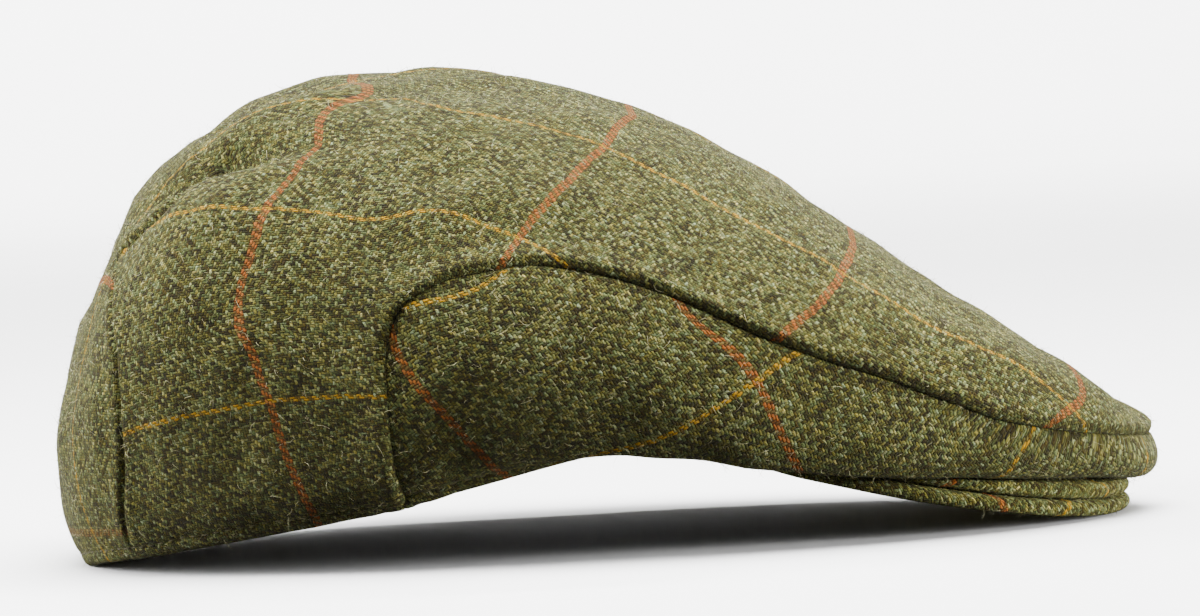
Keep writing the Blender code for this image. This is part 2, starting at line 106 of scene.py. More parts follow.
class Spline:
    """Natural cubic splines, written as weights on the values at their knots."""

    @staticmethod
    def bends(knots: Array) -> Array:
        """Finds the second derivatives at the knots as a matrix on the knot values.

        Args:
            knots: Places of the knots, rising.

        Returns:
            A square matrix.
        """
        count, step = len(knots), np.diff(knots)
        left, right = np.eye(count), np.zeros((count, count))
        for i in range(1, count - 1):
            left[i, i - 1 : i + 2] = step[i - 1], 2 * (step[i - 1] + step[i]), step[i]
            right[i, i - 1 : i + 2] = 6 / step[i - 1], -6 / step[i - 1] - 6 / step[i], 6 / step[i]
        return np.linalg.solve(left, right)

    @classmethod
    def weights(cls, knots: Array, at: Array) -> Array:
        """Finds the weight of every knot at each place asked for.

        Args:
            knots: Places of the knots, rising.
            at: Places to read, in any shape.

        Returns:
            An array with one more axis than the places, as long as the knots.
        """
        knots, at = np.asarray(knots, float), np.asarray(at, float)
        bend, eye = cls.bends(knots), np.eye(len(knots))
        i = np.clip(np.searchsorted(knots, at, side="right") - 1, 0, len(knots) - 2)
        step = knots[i + 1] - knots[i]
        a, b = (knots[i + 1] - at) / step, (at - knots[i]) / step
        lines = a[..., None] * eye[i] + b[..., None] * eye[i + 1]
        curves = (a**3 - a)[..., None] * bend[i] + (b**3 - b)[..., None] * bend[i + 1]
        return lines + curves * (step**2)[..., None] / 6

    @classmethod
    def table(cls, rows: tuple, column: int, at: Array) -> Array:
        """Reads a column of a short table smoothly at any place of its first column.

        Args:
            rows: The table's rows.
            column: Which column to read.
            at: Places in the first column, held inside the table.

        Returns:
            The values, in the shape of the places.
        """
        data = np.array(rows, float)
        inside = np.clip(at, data[0, 0], data[-1, 0])
        return cls.weights(data[:, 0], inside) @ data[:, column]


@dataclass(frozen=True)
class CapSizes:
    """Sizes of the cap in metres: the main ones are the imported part's, the seams and darts are finer."""

    length: float = 0.2755
    width: float = 0.190
    height: float = 0.1205
    wall: float = 0.0020
    hem_wall: float = 0.0032
    hem_depth: float = 0.010
    seam_gap: float = 0.0004
    seam_proud: float = 0.0012
    seam_sunk: float = 0.0006
    seam_roll: float = 0.0080
    turn_deep: float = 0.0008
    turn_wide: float = 0.0010
    dart_depth: float = 0.0010
    dart_half: float = 0.0008
    hem_soft: float = 0.0014
    stitch_height: float = 0.0026
    stitch_deep: float = 0.0004
    stitch_wide: float = 0.0007
    up_run: float = 0.20
    round_run: float = 0.115
    origin_x: float = -0.13266


@dataclass(frozen=True)
class Fold:
    """One soft fold: a smooth rise or hollow along a line through the cloth.

    The points give x as a share of the length, y of half the width, z of the height, and the rise as a
    share of the height. Side -1 is the wearer's right alone, 1 the left alone and 0 both.
    """

    name: str
    side: int
    width: float
    points: tuple


@dataclass
class CrownForm:
    """The crown's surface, read by the angle round it and the way up it.

    The angle is 0 at the back and 90 degrees at the wearer's right. The way is 0 at the hem and 1 at the
    middle of the top.
    """

    sizes: CapSizes
    lump_height: float = 0.00035
    lump_seed: int = 7
    wave_count: int = 28
    wave_shortest: float = 0.011
    wave_longest: float = 0.034

    # Name, way up, back, front and widest place (shares of the length),
    # half width (share of half the width),
    # height at the back, side and front, dip between side and front (shares of the height),
    # fullness of the back and the front
    rings = (
        ("hem", 0.000, 0.0029, 0.7260, 0.3630, 0.8632, 0.0000, 0.1593, 0.3187, 0.0000, 0.10, 0.10),
        ("hem_roll", 0.045, -0.0044, 0.7840, 0.3702, 0.9000, 0.0332, 0.1768, 0.2788, -0.0100, 0.14, 0.10),
        ("overhang", 0.095, -0.0105, 0.8457, 0.3775, 0.9421, 0.0788, 0.1992, 0.2158, -0.0581, 0.20, 0.10),
        ("widest", 0.200, -0.0174, 0.9554, 0.3993, 1.0000, 0.2075, 0.3071, 0.0846, -0.0498, 0.35, 0.05),
        ("seam", 0.340, -0.0058, 0.9750, 0.4065, 0.9947, 0.3900, 0.4896, 0.1743, 0.0000, 0.55, 0.02),
        ("seam_edge", 0.385, 0.0025, 0.9612, 0.4065, 0.9789, 0.4523, 0.5427, 0.2224, 0.0000, 0.63, 0.03),
        ("shoulder", 0.500, 0.0309, 0.8748, 0.4065, 0.8947, 0.6141, 0.6598, 0.3585, 0.0000, 0.80, 0.08),
        ("upper", 0.660, 0.0944, 0.7368, 0.3956, 0.7053, 0.8008, 0.8050, 0.5809, 0.0000, 0.75, 0.12),
        ("top", 0.810, 0.1742, 0.5808, 0.3775, 0.4526, 0.9295, 0.9046, 0.8257, 0.0000, 0.45, 0.10),
        ("inner_top", 0.920, 0.2559, 0.4428, 0.3557, 0.2105, 0.9842, 0.9527, 0.9510, 0.0000, 0.15, 0.05),
        ("middle", 1.000, 0.3303, 0.3303, 0.3303, 0.0000, 0.9925, 0.9925, 0.9925, 0.0000, 0.00, 0.00),
    )
    folds = (
        Fold("back valley", 0, 0.0684, (
            (0.1234, 0.0, 0.8548, -0.0083), (0.1815, 0.0, 0.9378, -0.0249),
            (0.2396, 0.0, 0.9793, -0.0299), (0.2976, 0.0, 0.9917, -0.0216), (0.3630, 0.0, 0.9876, 0.0),
        )),
        Fold("near rim", -1, 0.0480, (
            (0.1307, -0.2737, 0.8631, 0.0060), (0.1815, -0.3053, 0.9129, 0.0190),
            (0.2396, -0.3158, 0.9295, 0.0170), (0.3049, -0.2316, 0.9585, 0.0060),
            (0.3630, -0.1684, 0.9544, 0.0),
        )),
        Fold("rim crease", -1, 0.0190, (
            (0.1280, -0.24, 0.865, 0.0), (0.1410, -0.22, 0.898, -0.0220),
            (0.1800, -0.21, 0.922, -0.0280), (0.2180, -0.20, 0.940, -0.0220),
            (0.2700, -0.17, 0.955, 0.0),
        )),
        Fold("far rim", 1, 0.0737, (
            (0.1234, 0.2737, 0.8631, 0.0066), (0.1815, 0.3053, 0.9129, 0.0282),
            (0.2396, 0.2947, 0.9336, 0.0398), (0.3049, 0.2421, 0.9585, 0.0350),
            (0.3775, 0.1684, 0.9544, 0.0220), (0.4283, 0.1263, 0.9461, 0.0),
        )),
        Fold("dart crease", 0, 0.0320, (
            (0.0653, -0.2842, 0.7137, -0.0080), (0.0980, -0.3579, 0.7801, -0.0400),
            (0.1379, -0.4526, 0.8299, -0.0560), (0.1742, -0.5158, 0.8506, -0.0430),
            (0.2178, -0.5684, 0.8548, -0.0200), (0.2613, -0.5895, 0.8589, 0.0),
        )),
        Fold("crease line", -1, 0.0095, (
            (0.0407, -0.3338, 0.6231, -0.0080), (0.0525, -0.3722, 0.6593, -0.0300),
            (0.0662, -0.4351, 0.6892, -0.0420), (0.0818, -0.4825, 0.7192, -0.0460),
            (0.0992, -0.5129, 0.7501, -0.0460), (0.1138, -0.4834, 0.7868, -0.0420),
            (0.1289, -0.4484, 0.8210, -0.0300), (0.1455, -0.4137, 0.8530, -0.0140),
            (0.1581, -0.4241, 0.8654, 0.0),
        )),
        Fold("back ridge", 0, 0.0526, (
            (0.0726, -0.4000, 0.7137, 0.0033), (0.1343, -0.6737, 0.7303, 0.0133),
            (0.1996, -0.7642, 0.7187, 0.0050),
        )),
        Fold("side ridge", 0, 0.0474, (
            (0.2541, -0.8737, 0.6473, 0.0033), (0.3122, -0.8368, 0.7137, 0.0116),
            (0.3630, -0.8211, 0.7353, 0.0133), (0.4174, -0.8000, 0.7369, 0.0116),
            (0.4864, -0.8053, 0.6971, 0.0025),
        )),
        Fold("side hollow", 0, 0.0579, (
            (0.2904, -0.7579, 0.7884, -0.0050), (0.3376, -0.7632, 0.7801, -0.0149),
            (0.3848, -0.7789, 0.7635, -0.0050),
        )),
        Fold("back hollow", 0, 0.0900, (
            (0.0100, 0.0, 0.50, 0.0), (0.0180, 0.0, 0.56, -0.0180), (0.0330, 0.0, 0.62, -0.0180),
            (0.0480, 0.0, 0.67, 0.0),
        )),
        Fold("back swell", 0, 0.1100, (
            (0.0450, 0.0, 0.68, 0.0), (0.0650, 0.0, 0.75, 0.0240), (0.0900, 0.0, 0.82, 0.0260),
            (0.1200, 0.0, 0.87, 0.0160), (0.1600, 0.0, 0.91, 0.0),
        )),
        Fold("front hollow", 0, 0.1300, (
            (0.8600, 0.0, 0.37, 0.0), (0.9000, 0.0, 0.32, -0.0120), (0.9500, 0.0, 0.245, -0.0180),
            (0.9750, 0.0, 0.20, 0.0),
        )),
        Fold("front nose", 0, 0.0500, (
            (0.9300, -0.50, 0.10, 0.0), (0.9650, -0.25, 0.10, 0.0120), (0.9720, -0.05, 0.10, 0.0120),
        )),
        Fold("side swell", 0, 0.0900, (
            (0.2800, -0.96, 0.44, 0.0), (0.3200, -0.97, 0.44, 0.0110), (0.4450, -0.98, 0.42, 0.0110),
            (0.5500, -0.98, 0.38, 0.0),
        )),
        Fold("side tuck", 0, 0.0850, (
            (0.2800, -0.92, 0.24, 0.0), (0.3300, -0.93, 0.235, -0.0200),
            (0.4800, -0.93, 0.215, -0.0200), (0.5800, -0.92, 0.20, 0.0),
        )),
        Fold("flap tuck", 0, 0.1000, (
            (0.0300, -0.50, 0.25, 0.0), (0.0700, -0.66, 0.26, -0.0140), (0.1600, -0.82, 0.26, -0.0170),
            (0.2400, -0.90, 0.25, -0.0100), (0.2800, -0.93, 0.24, 0.0),
        )),
        Fold("seam hollow", 0, 0.0421, (
            (0.3339, -0.9158, 0.6390, -0.0033), (0.3702, -0.9053, 0.6639, -0.0116),
            (0.4138, -0.9053, 0.6556, -0.0033),
        )),
    )
    # Seam between the top and a side panel: angle in degrees, way up
    long_seam_rows = (
        (74.0, 0.372), (78.0, 0.403), (83.0, 0.423), (88.0, 0.439), (92.2, 0.443), (96.0, 0.433),
        (99.8, 0.419), (103.2, 0.399), (106.5, 0.374), (109.8, 0.351), (113.2, 0.335), (117.0, 0.323),
        (121.0, 0.316), (125.2, 0.306), (129.8, 0.297), (134.5, 0.289), (140.2, 0.290), (147.0, 0.297),
        (156.8, 0.311), (165.8, 0.322), (180.0, 0.330),
    )
    # Upright side seam: way up, angle in degrees
    side_seam_rows = (
        (0.0, 77.3), (0.05, 76.2), (0.11, 74.5), (0.16, 73.0), (0.203, 72.0), (0.257, 71.3),
        (0.30, 71.2), (0.327, 71.7), (0.353, 72.6), (0.372, 74.0),
    )
    # Back corner dart: way up, angle in degrees, share of its depth
    dart_rows = (
        (0.0, 31.0, 0.0), (0.037, 30.8, 0.1), (0.11, 30.5, 0.9), (0.233, 30.2, 1.0), (0.30, 29.0, 1.0),
        (0.373, 26.0, 1.0), (0.467, 19.0, 1.0), (0.527, 13.5, 1.0), (0.563, 12.5, 1.0),
        (0.603, 14.5, 1.1), (0.65, 19.5, 1.3), (0.68, 27.5, 1.0), (0.70, 33.0, 0.0), (1.0, 36.0, 0.0),
    )

    # How far over the surface's start the hem lies: angle in degrees, metres
    hem_rows = (
        (0.0, 0.0010), (6.0, 0.0015), (14.0, 0.0035), (24.0, 0.0047), (33.0, 0.0050),
        (60.0, 0.0040), (90.0, 0.0032), (112.0, 0.0025), (128.0, 0.0022), (180.0, 0.0022),
    )

    def __post_init__(self) -> None:
        """Draws the random waves of the cloth's small lumps."""
        rng = np.random.default_rng(self.lump_seed)
        directions = unit(rng.normal(size=(self.wave_count, 3)))
        lengths = rng.uniform(self.wave_shortest, self.wave_longest, self.wave_count)
        self.waves = directions * (2 * math.pi / lengths)[:, None]
        self.wave_starts = rng.uniform(0, 2 * math.pi, self.wave_count)

    @property
    def corner_way(self) -> float:
        """Returns the way at which the long seam meets the upright seam."""
        return self.long_seam_rows[0][1]

    def ring_points(self, angle: Array) -> Array:
        """Finds the point of every ring at each angle.

        Args:
            angle: Angles in radians.

        Returns:
            Points with the rings on the last axis but one.
        """
        s = self.sizes
        table = np.array([row[2:] for row in self.rings]).T
        back, front, widest = table[:3] * s.length
        half = table[3] * s.width / 2
        low, side, high, dip = table[4:8] * s.height
        full_back, full_front = table[8:10]
        c, n = np.cos(angle)[..., None], np.sin(angle)[..., None]
        behind = c > 0
        x = widest - np.where(behind, widest - back, front - widest) * c
        y = -half * n * (1 + np.where(behind, full_back * c * c, full_front) * c * c)
        z = side * (1 - c * c) + low * (c * c + c) / 2 + high * (c * c - c) / 2
        z = z + np.where(behind, 0, dip * 6.75 * c * c * (1 + c))
        return np.stack([x, y, z], -1)

    def smooth(self, angle: Array, way: Array) -> Array:
        """Finds the crown without its folds; the rings run on over the middle, so the top has no point.

        Args:
            angle: Angles in radians.
            way: Ways up.

        Returns:
            Points before the shift to the part's origin.
        """
        angle, way = np.broadcast_arrays(np.asarray(angle, float), np.asarray(way, float))
        up = np.array([row[1] for row in self.rings])
        knots = np.concatenate([up, 2 - up[-2:-5:-1]])
        own, other = self.ring_points(angle), self.ring_points(angle + math.pi)[..., -2:-5:-1, :]
        return np.einsum("...k,...kc->...c", Spline.weights(knots, way), np.concatenate([own, other], -2))

    def normal(self, angle: Array, way: Array) -> Array:
        """Finds the outward normal of the smooth crown.

        Args:
            angle: Angles in radians.
            way: Ways up.

        Returns:
            Unit vectors.
        """
        small = 2e-3
        inner = np.minimum(way, 0.985)
        across = self.smooth(angle + small, inner) - self.smooth(angle - small, inner)
        along = self.smooth(angle, inner + small) - self.smooth(angle, inner - small)
        top = np.clip((np.asarray(way) - 0.985) / 0.015, 0, 1)[..., None]
        return unit(unit(np.cross(across, along)) * (1 - top) + np.array([0, 0, 1.0]) * top)

    def fold_rise(self, points: Array) -> Array:
        """Finds the height that the folds add at each point.

        Args:
            points: Points of the smooth crown.

        Returns:
            Heights in metres.
        """
        s = self.sizes
        rise = np.zeros(points.shape[:-1])
        scale = np.array([s.length, s.width / 2, s.height, s.height])
        for fold in self.folds:
            line = np.array(fold.points) * scale
            sides = (fold.side,) if fold.side or not line[:, 1].any() else (-1, 1)
            for one in sides:
                path = line.copy()
                if fold.side == 0 and one == 1:
                    path[:, 1] *= -1
                best = np.full(points.shape[:-1], np.inf)
                height = np.zeros(points.shape[:-1])
                for start, end in zip(path[:-1], path[1:]):
                    run = end[:3] - start[:3]
                    part = np.clip(((points - start[:3]) @ run) / (run @ run), 0, 1)
                    away = np.linalg.norm(points - start[:3] - part[..., None] * run, axis=-1)
                    nearer = away < best
                    height = np.where(nearer, start[3] + part * (end[3] - start[3]), height)
                    best = np.minimum(best, away)
                rise = rise + height * np.exp(-((best / (fold.width * s.width)) ** 2))
        return rise

    def lumps(self, points: Array) -> Array:
        """Returns the small random swells of soft cloth at each point, in metres."""
        phase = points @ self.waves.T + self.wave_starts
        return np.sin(phase).sum(-1) / math.sqrt(len(self.waves)) * self.lump_height

    def surface(self, angle: Array, way: Array) -> tuple[Array, Array]:
        """Finds the crown's surface with its folds and lumps.

        Args:
            angle: Angles in radians.
            way: Ways up.

        Returns:
            The points and their outward normals.
        """
        base, normal = self.smooth(angle, way), self.normal(angle, way)
        calm = smooth_step(0.0, 0.06, way)
        rise = self.fold_rise(base) + self.lumps(base) * calm
        return base + normal * rise[..., None], normal

    def hem_way(self, degrees: Array) -> Array:
        """Returns the way up at which the hem lies."""
        turned = np.abs((np.asarray(degrees) + 180) % 360 - 180)
        return Spline.table(self.hem_rows, 1, turned) / self.sizes.up_run

    def long_seam(self, degrees: Array) -> Array:
        """Returns the way up of the seam over a side panel."""
        return Spline.table(self.long_seam_rows, 1, degrees)

    def side_seam(self, way: Array) -> Array:
        """Returns the angle of the upright seam, in degrees."""
        return Spline.table(self.side_seam_rows, 1, way)

    def dart_angle(self, way: Array) -> Array:
        """Returns the angle of the back dart, in degrees."""
        data = np.array(self.dart_rows)
        return np.interp(way, data[:, 0], data[:, 1])

    def dart_rise(self, angle: Array, way: Array) -> Array:
        """Finds how far the surface drops into the dart's seam.

        Args:
            angle: Angles in radians.
            way: Ways up.

        Returns:
            Heights in metres, negative in the groove.
        """
        s = self.sizes
        data = np.array(self.dart_rows)
        middle = np.radians(self.dart_angle(way))
        small = 1e-3
        chord = self.smooth(angle + small, way) - self.smooth(angle - small, way)
        reach = np.linalg.norm(chord, axis=-1) / (2 * small)
        turned = np.abs((np.asarray(angle) + math.pi) % (2 * math.pi) - math.pi)
        away = np.abs(turned - middle) * reach
        depth = np.interp(way, data[:, 0], data[:, 2])
        groove = -s.dart_depth * np.exp(-((away / s.dart_half) ** 2))
        lips = 0.35 * s.dart_depth * np.exp(-(((away - 3.0 * s.dart_half) / (2.0 * s.dart_half)) ** 2))
        return depth * (groove + lips)

    def hem_outward(self, angle: Array) -> Array:
        """Finds the way out of the opening in the hem's own plane.

        Args:
            angle: Angles in radians.

        Returns:
            Unit vectors.
        """
        ends = self.smooth(np.array([0.0, math.pi]), 0.0)
        run = unit(ends[1] - ends[0])
        plane = np.array([-run[2], 0.0, run[0]])
        along = self.smooth(angle + 1e-3, 0.0) - self.smooth(angle - 1e-3, 0.0)
        out = unit(np.cross(along, plane))
        away = self.smooth(angle, 0.0) - ends.mean(0)
        return out * np.sign((out * away).sum(-1))[..., None]

    def skins(self, angle: Array, way: Array, proud: float, from_edge: Array) -> tuple[Array, Array]:
        """Finds the outer and inner points of a panel.

        Args:
            angle: Angles in radians.
            way: Ways up.
            proud: Rise of the outer skin beside a seam.
            from_edge: Distance to the nearest seam, in metres.

        Returns:
            Outer points and inner points, in the part's frame.
        """
        s = self.sizes
        surface, normal = self.surface(angle, way)
        start, _ = self.surface(angle, way * 0 + self.hem_way(np.degrees(angle)))
        up = np.linalg.norm(surface - start, axis=-1)
        rise = proud * np.exp(-((from_edge / s.seam_roll) ** 2)) + self.dart_rise(angle, way)
        turned = np.exp(-((from_edge / s.turn_wide) ** 2)) * s.turn_deep
        rise = rise - s.stitch_deep * np.exp(-(((up - s.stitch_height) / s.stitch_wide) ** 2))
        hem = np.exp(-((up / s.hem_soft) ** 2))[..., None]
        direction = unit(normal * (1 - hem) + self.hem_outward(angle) * hem)
        outer = surface + direction * ((rise - turned) * (1 - hem[..., 0]))[..., None]
        wall = s.wall + (s.hem_wall - s.wall) * smooth_step(s.hem_depth * 1.08, s.hem_depth * 0.92, up)
        inner = surface - direction * wall[..., None]
        shift = np.array([s.origin_x, 0, 0])
        return outer + shift, inner + shift


@dataclass(frozen=True)
class CheckLine:
    """A coloured line of the check, by where it runs over the crown.

    The points give the angle in degrees and the way up, and value is the line's number in the flat cloth.
    """

    kind: Line
    value: float
    points: tuple

    def place(self, first: tuple[float, float], spacing: tuple[float, float]) -> float:
        """Finds where the line lies in the flat cloth.

        Args:
            first: Places of the orange and the yellow line with number 0.
            spacing: Distances between two orange and between two yellow lines.

        Returns:
            The place in metres.
        """
        return first[self.kind.value] + self.value * spacing[self.kind.value]


class FlatCut:
    """Lays a sewn panel flat, which gives the place of every thread and the size of the cut."""

    # How strongly a check line is kept straight, and how often the layout is improved
    stiffness = 20.0
    turns = 40
    # Limits on how hard a thin triangle pulls
    least_pull = 0.02
    most_pull = 8
    tiny = 1e-9

    def __init__(self, points: Array, triangles: Array, start: Array) -> None:
        """Keeps the panel's triangles.

        Args:
            points: The panel's points.
            triangles: Their triangles.
            start: A rough flat layout.
        """
        self.points, self.triangles, self.start = points, triangles, start

    def anchors(self, targets: Array) -> Array:
        """Finds weights on the panel's points for places on its surface.

        Args:
            targets: Places near the surface.

        Returns:
            One row of weights for each place.
        """
        middles = self.points[self.triangles].mean(1)
        weights = np.zeros((len(targets), len(self.points)))
        for row, target in enumerate(targets):
            best = (np.inf, 0, np.zeros(3))
            for k in np.argsort(((middles - target) ** 2).sum(1))[:6]:
                a, b, c = self.points[self.triangles[k]]
                share = np.linalg.lstsq(np.stack([b - a, c - a], 1), target - a, rcond=None)[0]
                mix = np.clip([1 - share.sum(), share[0], share[1]], 0, 1)
                mix = mix / mix.sum()
                error = float(np.linalg.norm(mix @ self.points[self.triangles[k]] - target))
                if error < best[0]:
                    best = (error, k, mix)
            weights[row, self.triangles[best[1]]] = best[2]
        return weights

    def solve(self, lines: list[tuple[Line, float, Array]]) -> Array:
        """Lays the panel flat with as little stretch as it can, and with the check lines straight.

        Args:
            lines: For each line its kind, its place in the flat cloth and its points on the panel.

        Returns:
            Flat coordinates of the points, in metres.
        """
        points, tri = self.points, self.triangles
        count = len(points)
        first, second = points[tri[:, 1]] - points[tri[:, 0]], points[tri[:, 2]] - points[tri[:, 0]]
        base = np.linalg.norm(first, axis=1)
        own = np.zeros((len(tri), 3, 2))
        own[:, 1, 0] = base
        own[:, 2, 0] = (first * second).sum(1) / base
        own[:, 2, 1] = np.linalg.norm(np.cross(first, second), axis=1) / base
        pull = np.zeros((len(tri), 3))
        links = np.zeros((count, count))
        for k in range(3):
            a, b = own[:, (k + 1) % 3] - own[:, k], own[:, (k + 2) % 3] - own[:, k]
            twice_area = np.abs(a[:, 0] * b[:, 1] - a[:, 1] * b[:, 0])
            narrow = (a * b).sum(1) / np.maximum(twice_area, 1e-12)
            pull[:, k] = np.clip(narrow, self.least_pull, self.most_pull)
            i, j = tri[:, (k + 1) % 3], tri[:, (k + 2) % 3]
            for rows, columns, sign in ((i, i, 1), (j, j, 1), (i, j, -1), (j, i, -1)):
                np.add.at(links, (rows, columns), sign * pull[:, k])
        held = [links.copy(), links.copy()]
        wanted = np.zeros((count, 2))
        for kind, value, targets in lines:
            weights = self.anchors(targets)
            held[kind.value] += self.stiffness * weights.T @ weights
            wanted[:, kind.value] += self.stiffness * weights.sum(0) * value
        solvers = [np.linalg.inv(m + np.eye(count) * self.tiny) for m in held]
        flat = self.start.copy()
        for _ in range(self.turns):
            corners = flat[tri]
            spread = np.zeros((len(tri), 2, 2))
            for k in range(3):
                i, j = (k + 1) % 3, (k + 2) % 3
                laid, cut = corners[:, i] - corners[:, j], own[:, i] - own[:, j]
                spread += pull[:, k, None, None] * laid[:, :, None] * cut[:, None, :]
            turn = np.arctan2(spread[:, 1, 0] - spread[:, 0, 1], spread[:, 0, 0] + spread[:, 1, 1])
            c, s = np.cos(turn), np.sin(turn)
            matrix = np.stack([np.stack([c, -s], -1), np.stack([s, c], -1)], -2)
            force = wanted.copy()
            for k in range(3):
                i, j = (k + 1) % 3, (k + 2) % 3
                edge = np.einsum("tab,tb->ta", matrix, own[:, i] - own[:, j]) * pull[:, k, None]
                np.add.at(force, tri[:, i], edge)
                np.add.at(force, tri[:, j], -edge)
            flat = np.stack([solvers[axis] @ force[:, axis] for axis in (0, 1)], -1)
        return flat

    def area(self) -> float:
        """Returns the area of the panel's cloth, in square metres."""
        a, b, c = (self.points[self.triangles[:, k]] for k in range(3))
        return float(np.linalg.norm(np.cross(b - a, c - a), axis=1).sum() / 2)


@dataclass(frozen=True)
class Cut:
    """The size of a panel's flat cut, in metres and square metres."""

    width: float
    length: float
    area: float


class ShellMesh:
    """A closed piece of cloth with an outer skin, an inner skin and a rounded edge."""

    # Turns of the rounded edge as shares of half a circle, and its swell as a share of half the cloth
    steps = (0.35, 0.5, 0.65)
    bulge = 0.65

    def __init__(self, outer: Array, inner: Array, faces: list[list[int]], threads: list[Array]) -> None:
        """Makes the points, faces and thread coordinates.

        Args:
            outer: Points of the outer skin.
            inner: Points of the inner skin, in the same order.
            faces: Faces of the outer skin, seen from outside.
            threads: For each face, the thread coordinates of its corners.
        """
        count = len(outer)
        owners: dict[tuple[int, int], tuple] = {}
        for face, places in zip(faces, threads):
            size = len(face)
            for k in range(size):
                a, b = face[k], face[(k + 1) % size]
                if (b, a) in owners:
                    del owners[(b, a)]
                else:
                    after, before = (k + 2) % size, (k - 1) % size
                    inside = (places[before], places[after], face[before], face[after])
                    owners[(a, b)] = (places[k], places[(k + 1) % size], *inside)
        edge = sorted({i for pair in owners for i in pair})
        on_edge = np.zeros(count, bool)
        on_edge[edge] = True
        sums, uses = np.zeros((count, 3)), np.zeros(count)
        for face in faces:
            if any(on_edge[i] for i in face):
                inside = [i for i in face if not on_edge[i]] or list(face)
                middle = outer[inside].mean(0)
                for i in face:
                    if on_edge[i]:
                        sums[i] += middle
                        uses[i] += 1
        number = {i: k for k, i in enumerate(edge)}
        top, low = outer[edge], inner[edge]
        half = (top - low) / 2
        out = top - sums[edge] / uses[edge][:, None]
        along = unit(half)
        out = unit(out - (out * along).sum(-1, keepdims=True) * along)
        reach = np.linalg.norm(half, axis=-1, keepdims=True) * self.bulge
        rim = []
        for share in self.steps:
            turn = math.pi * share
            rim.append((top + low) / 2 + half * math.cos(turn) + out * reach * math.sin(turn))
        self.points = np.vstack([outer, inner] + rim)
        self.outer_count = count
        self.outer_faces = len(faces)
        self.faces = [list(f) for f in faces] + [[i + count for i in reversed(f)] for f in faces]
        self.threads = list(threads) + [t[::-1] for t in threads]
        self.close_edge(owners, number, len(edge))

    def close_edge(self, owners: dict, number: dict[int, int], width: int) -> None:
        """Closes the edge between the skins; the threads run on round it.

        Args:
            owners: For each open edge, its ends' thread places and the neighbours inside the panel.
            number: Place of each point in the edge's rows.
            width: How many points each row of the edge has.
        """
        count, first = self.outer_count, 2 * self.outer_count
        for (a, b), (place_a, place_b, past_a, past_b, in_a, in_b) in owners.items():
            sides = []
            for i, place, past, inside in ((a, place_a, past_a, in_a), (b, place_b, past_b, in_b)):
                rungs = [i] + [first + number[i] + width * k for k in range(len(self.steps))] + [i + count]
                lengths = np.linalg.norm(np.diff(self.points[rungs], axis=0), axis=1)
                run = np.concatenate([[0], np.cumsum(lengths)])
                reach = float(np.linalg.norm(self.points[i] - self.points[inside]))
                rate = (place - past) / max(reach, 1e-5)
                sides.append((rungs, place + run[:, None] * rate))
            (rungs_a, places_a), (rungs_b, places_b) = sides
            for k in range(len(rungs_a) - 1):
                self.faces.append([rungs_b[k], rungs_a[k], rungs_a[k + 1], rungs_b[k + 1]])
                self.threads.append(np.array([places_b[k], places_a[k], places_a[k + 1], places_b[k + 1]]))


class Piece:
    """Makes a finished object of the scene from points and faces."""

    @staticmethod
    def make(
        name: str,
        points: Array,
        faces: list[list[int]],
        material: bpy.types.Material,
        threads: list[Array] | None = None,
    ) -> bpy.types.Object:
        """Makes one smooth-shaded object and lets it ride on the cap's body.

        Args:
            name: The object's name.
            points: Its points.
            faces: Its faces.
            material: Its finish.
            threads: Thread coordinates of each face's corners, if it is woven.

        Returns:
            The object.
        """
        mesh = bpy.data.meshes.new(name)
        mesh.from_pydata(points.tolist(), [], faces)
        mesh.polygons.foreach_set("use_smooth", np.ones(len(mesh.polygons), bool))
        if threads is not None:
            layer = mesh.uv_layers.new(name="threads")
            layer.data.foreach_set("uv", np.concatenate(threads).astype(np.float32).ravel())
        mesh.materials.append(material)
        mesh.update()
        piece = bpy.data.objects.new(name, mesh)
        bpy.context.scene.collection.objects.link(piece)
        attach(piece, "root")
        LOG.info("%s: %d points, %d faces", name, len(points), len(faces))
        return piece


@dataclass
class Weave:
    """How the cloth is set: thread spacing and the repeat of the check."""

    orange_repeat: int = 90
    yellow_repeat: int = 84

    def threads(
        self, flat: Array, orange_at: float, orange_run: float, yellow_at: float, yellow_run: float
    ) -> Array:
        """Turns flat coordinates into thread counts.

        Args:
            flat: Flat coordinates in metres.
            orange_at: Place of one orange line.
            orange_run: Spacing of the orange lines.
            yellow_at: Place of one yellow line.
            yellow_run: Spacing of the yellow lines.

        Returns:
            Thread coordinates; the coloured threads start at whole repeats.
        """
        across = (flat[..., 0] - orange_at) / orange_run * self.orange_repeat
        down = (flat[..., 1] - yellow_at) / yellow_run * self.yellow_repeat
        return np.stack([across, down], -1)


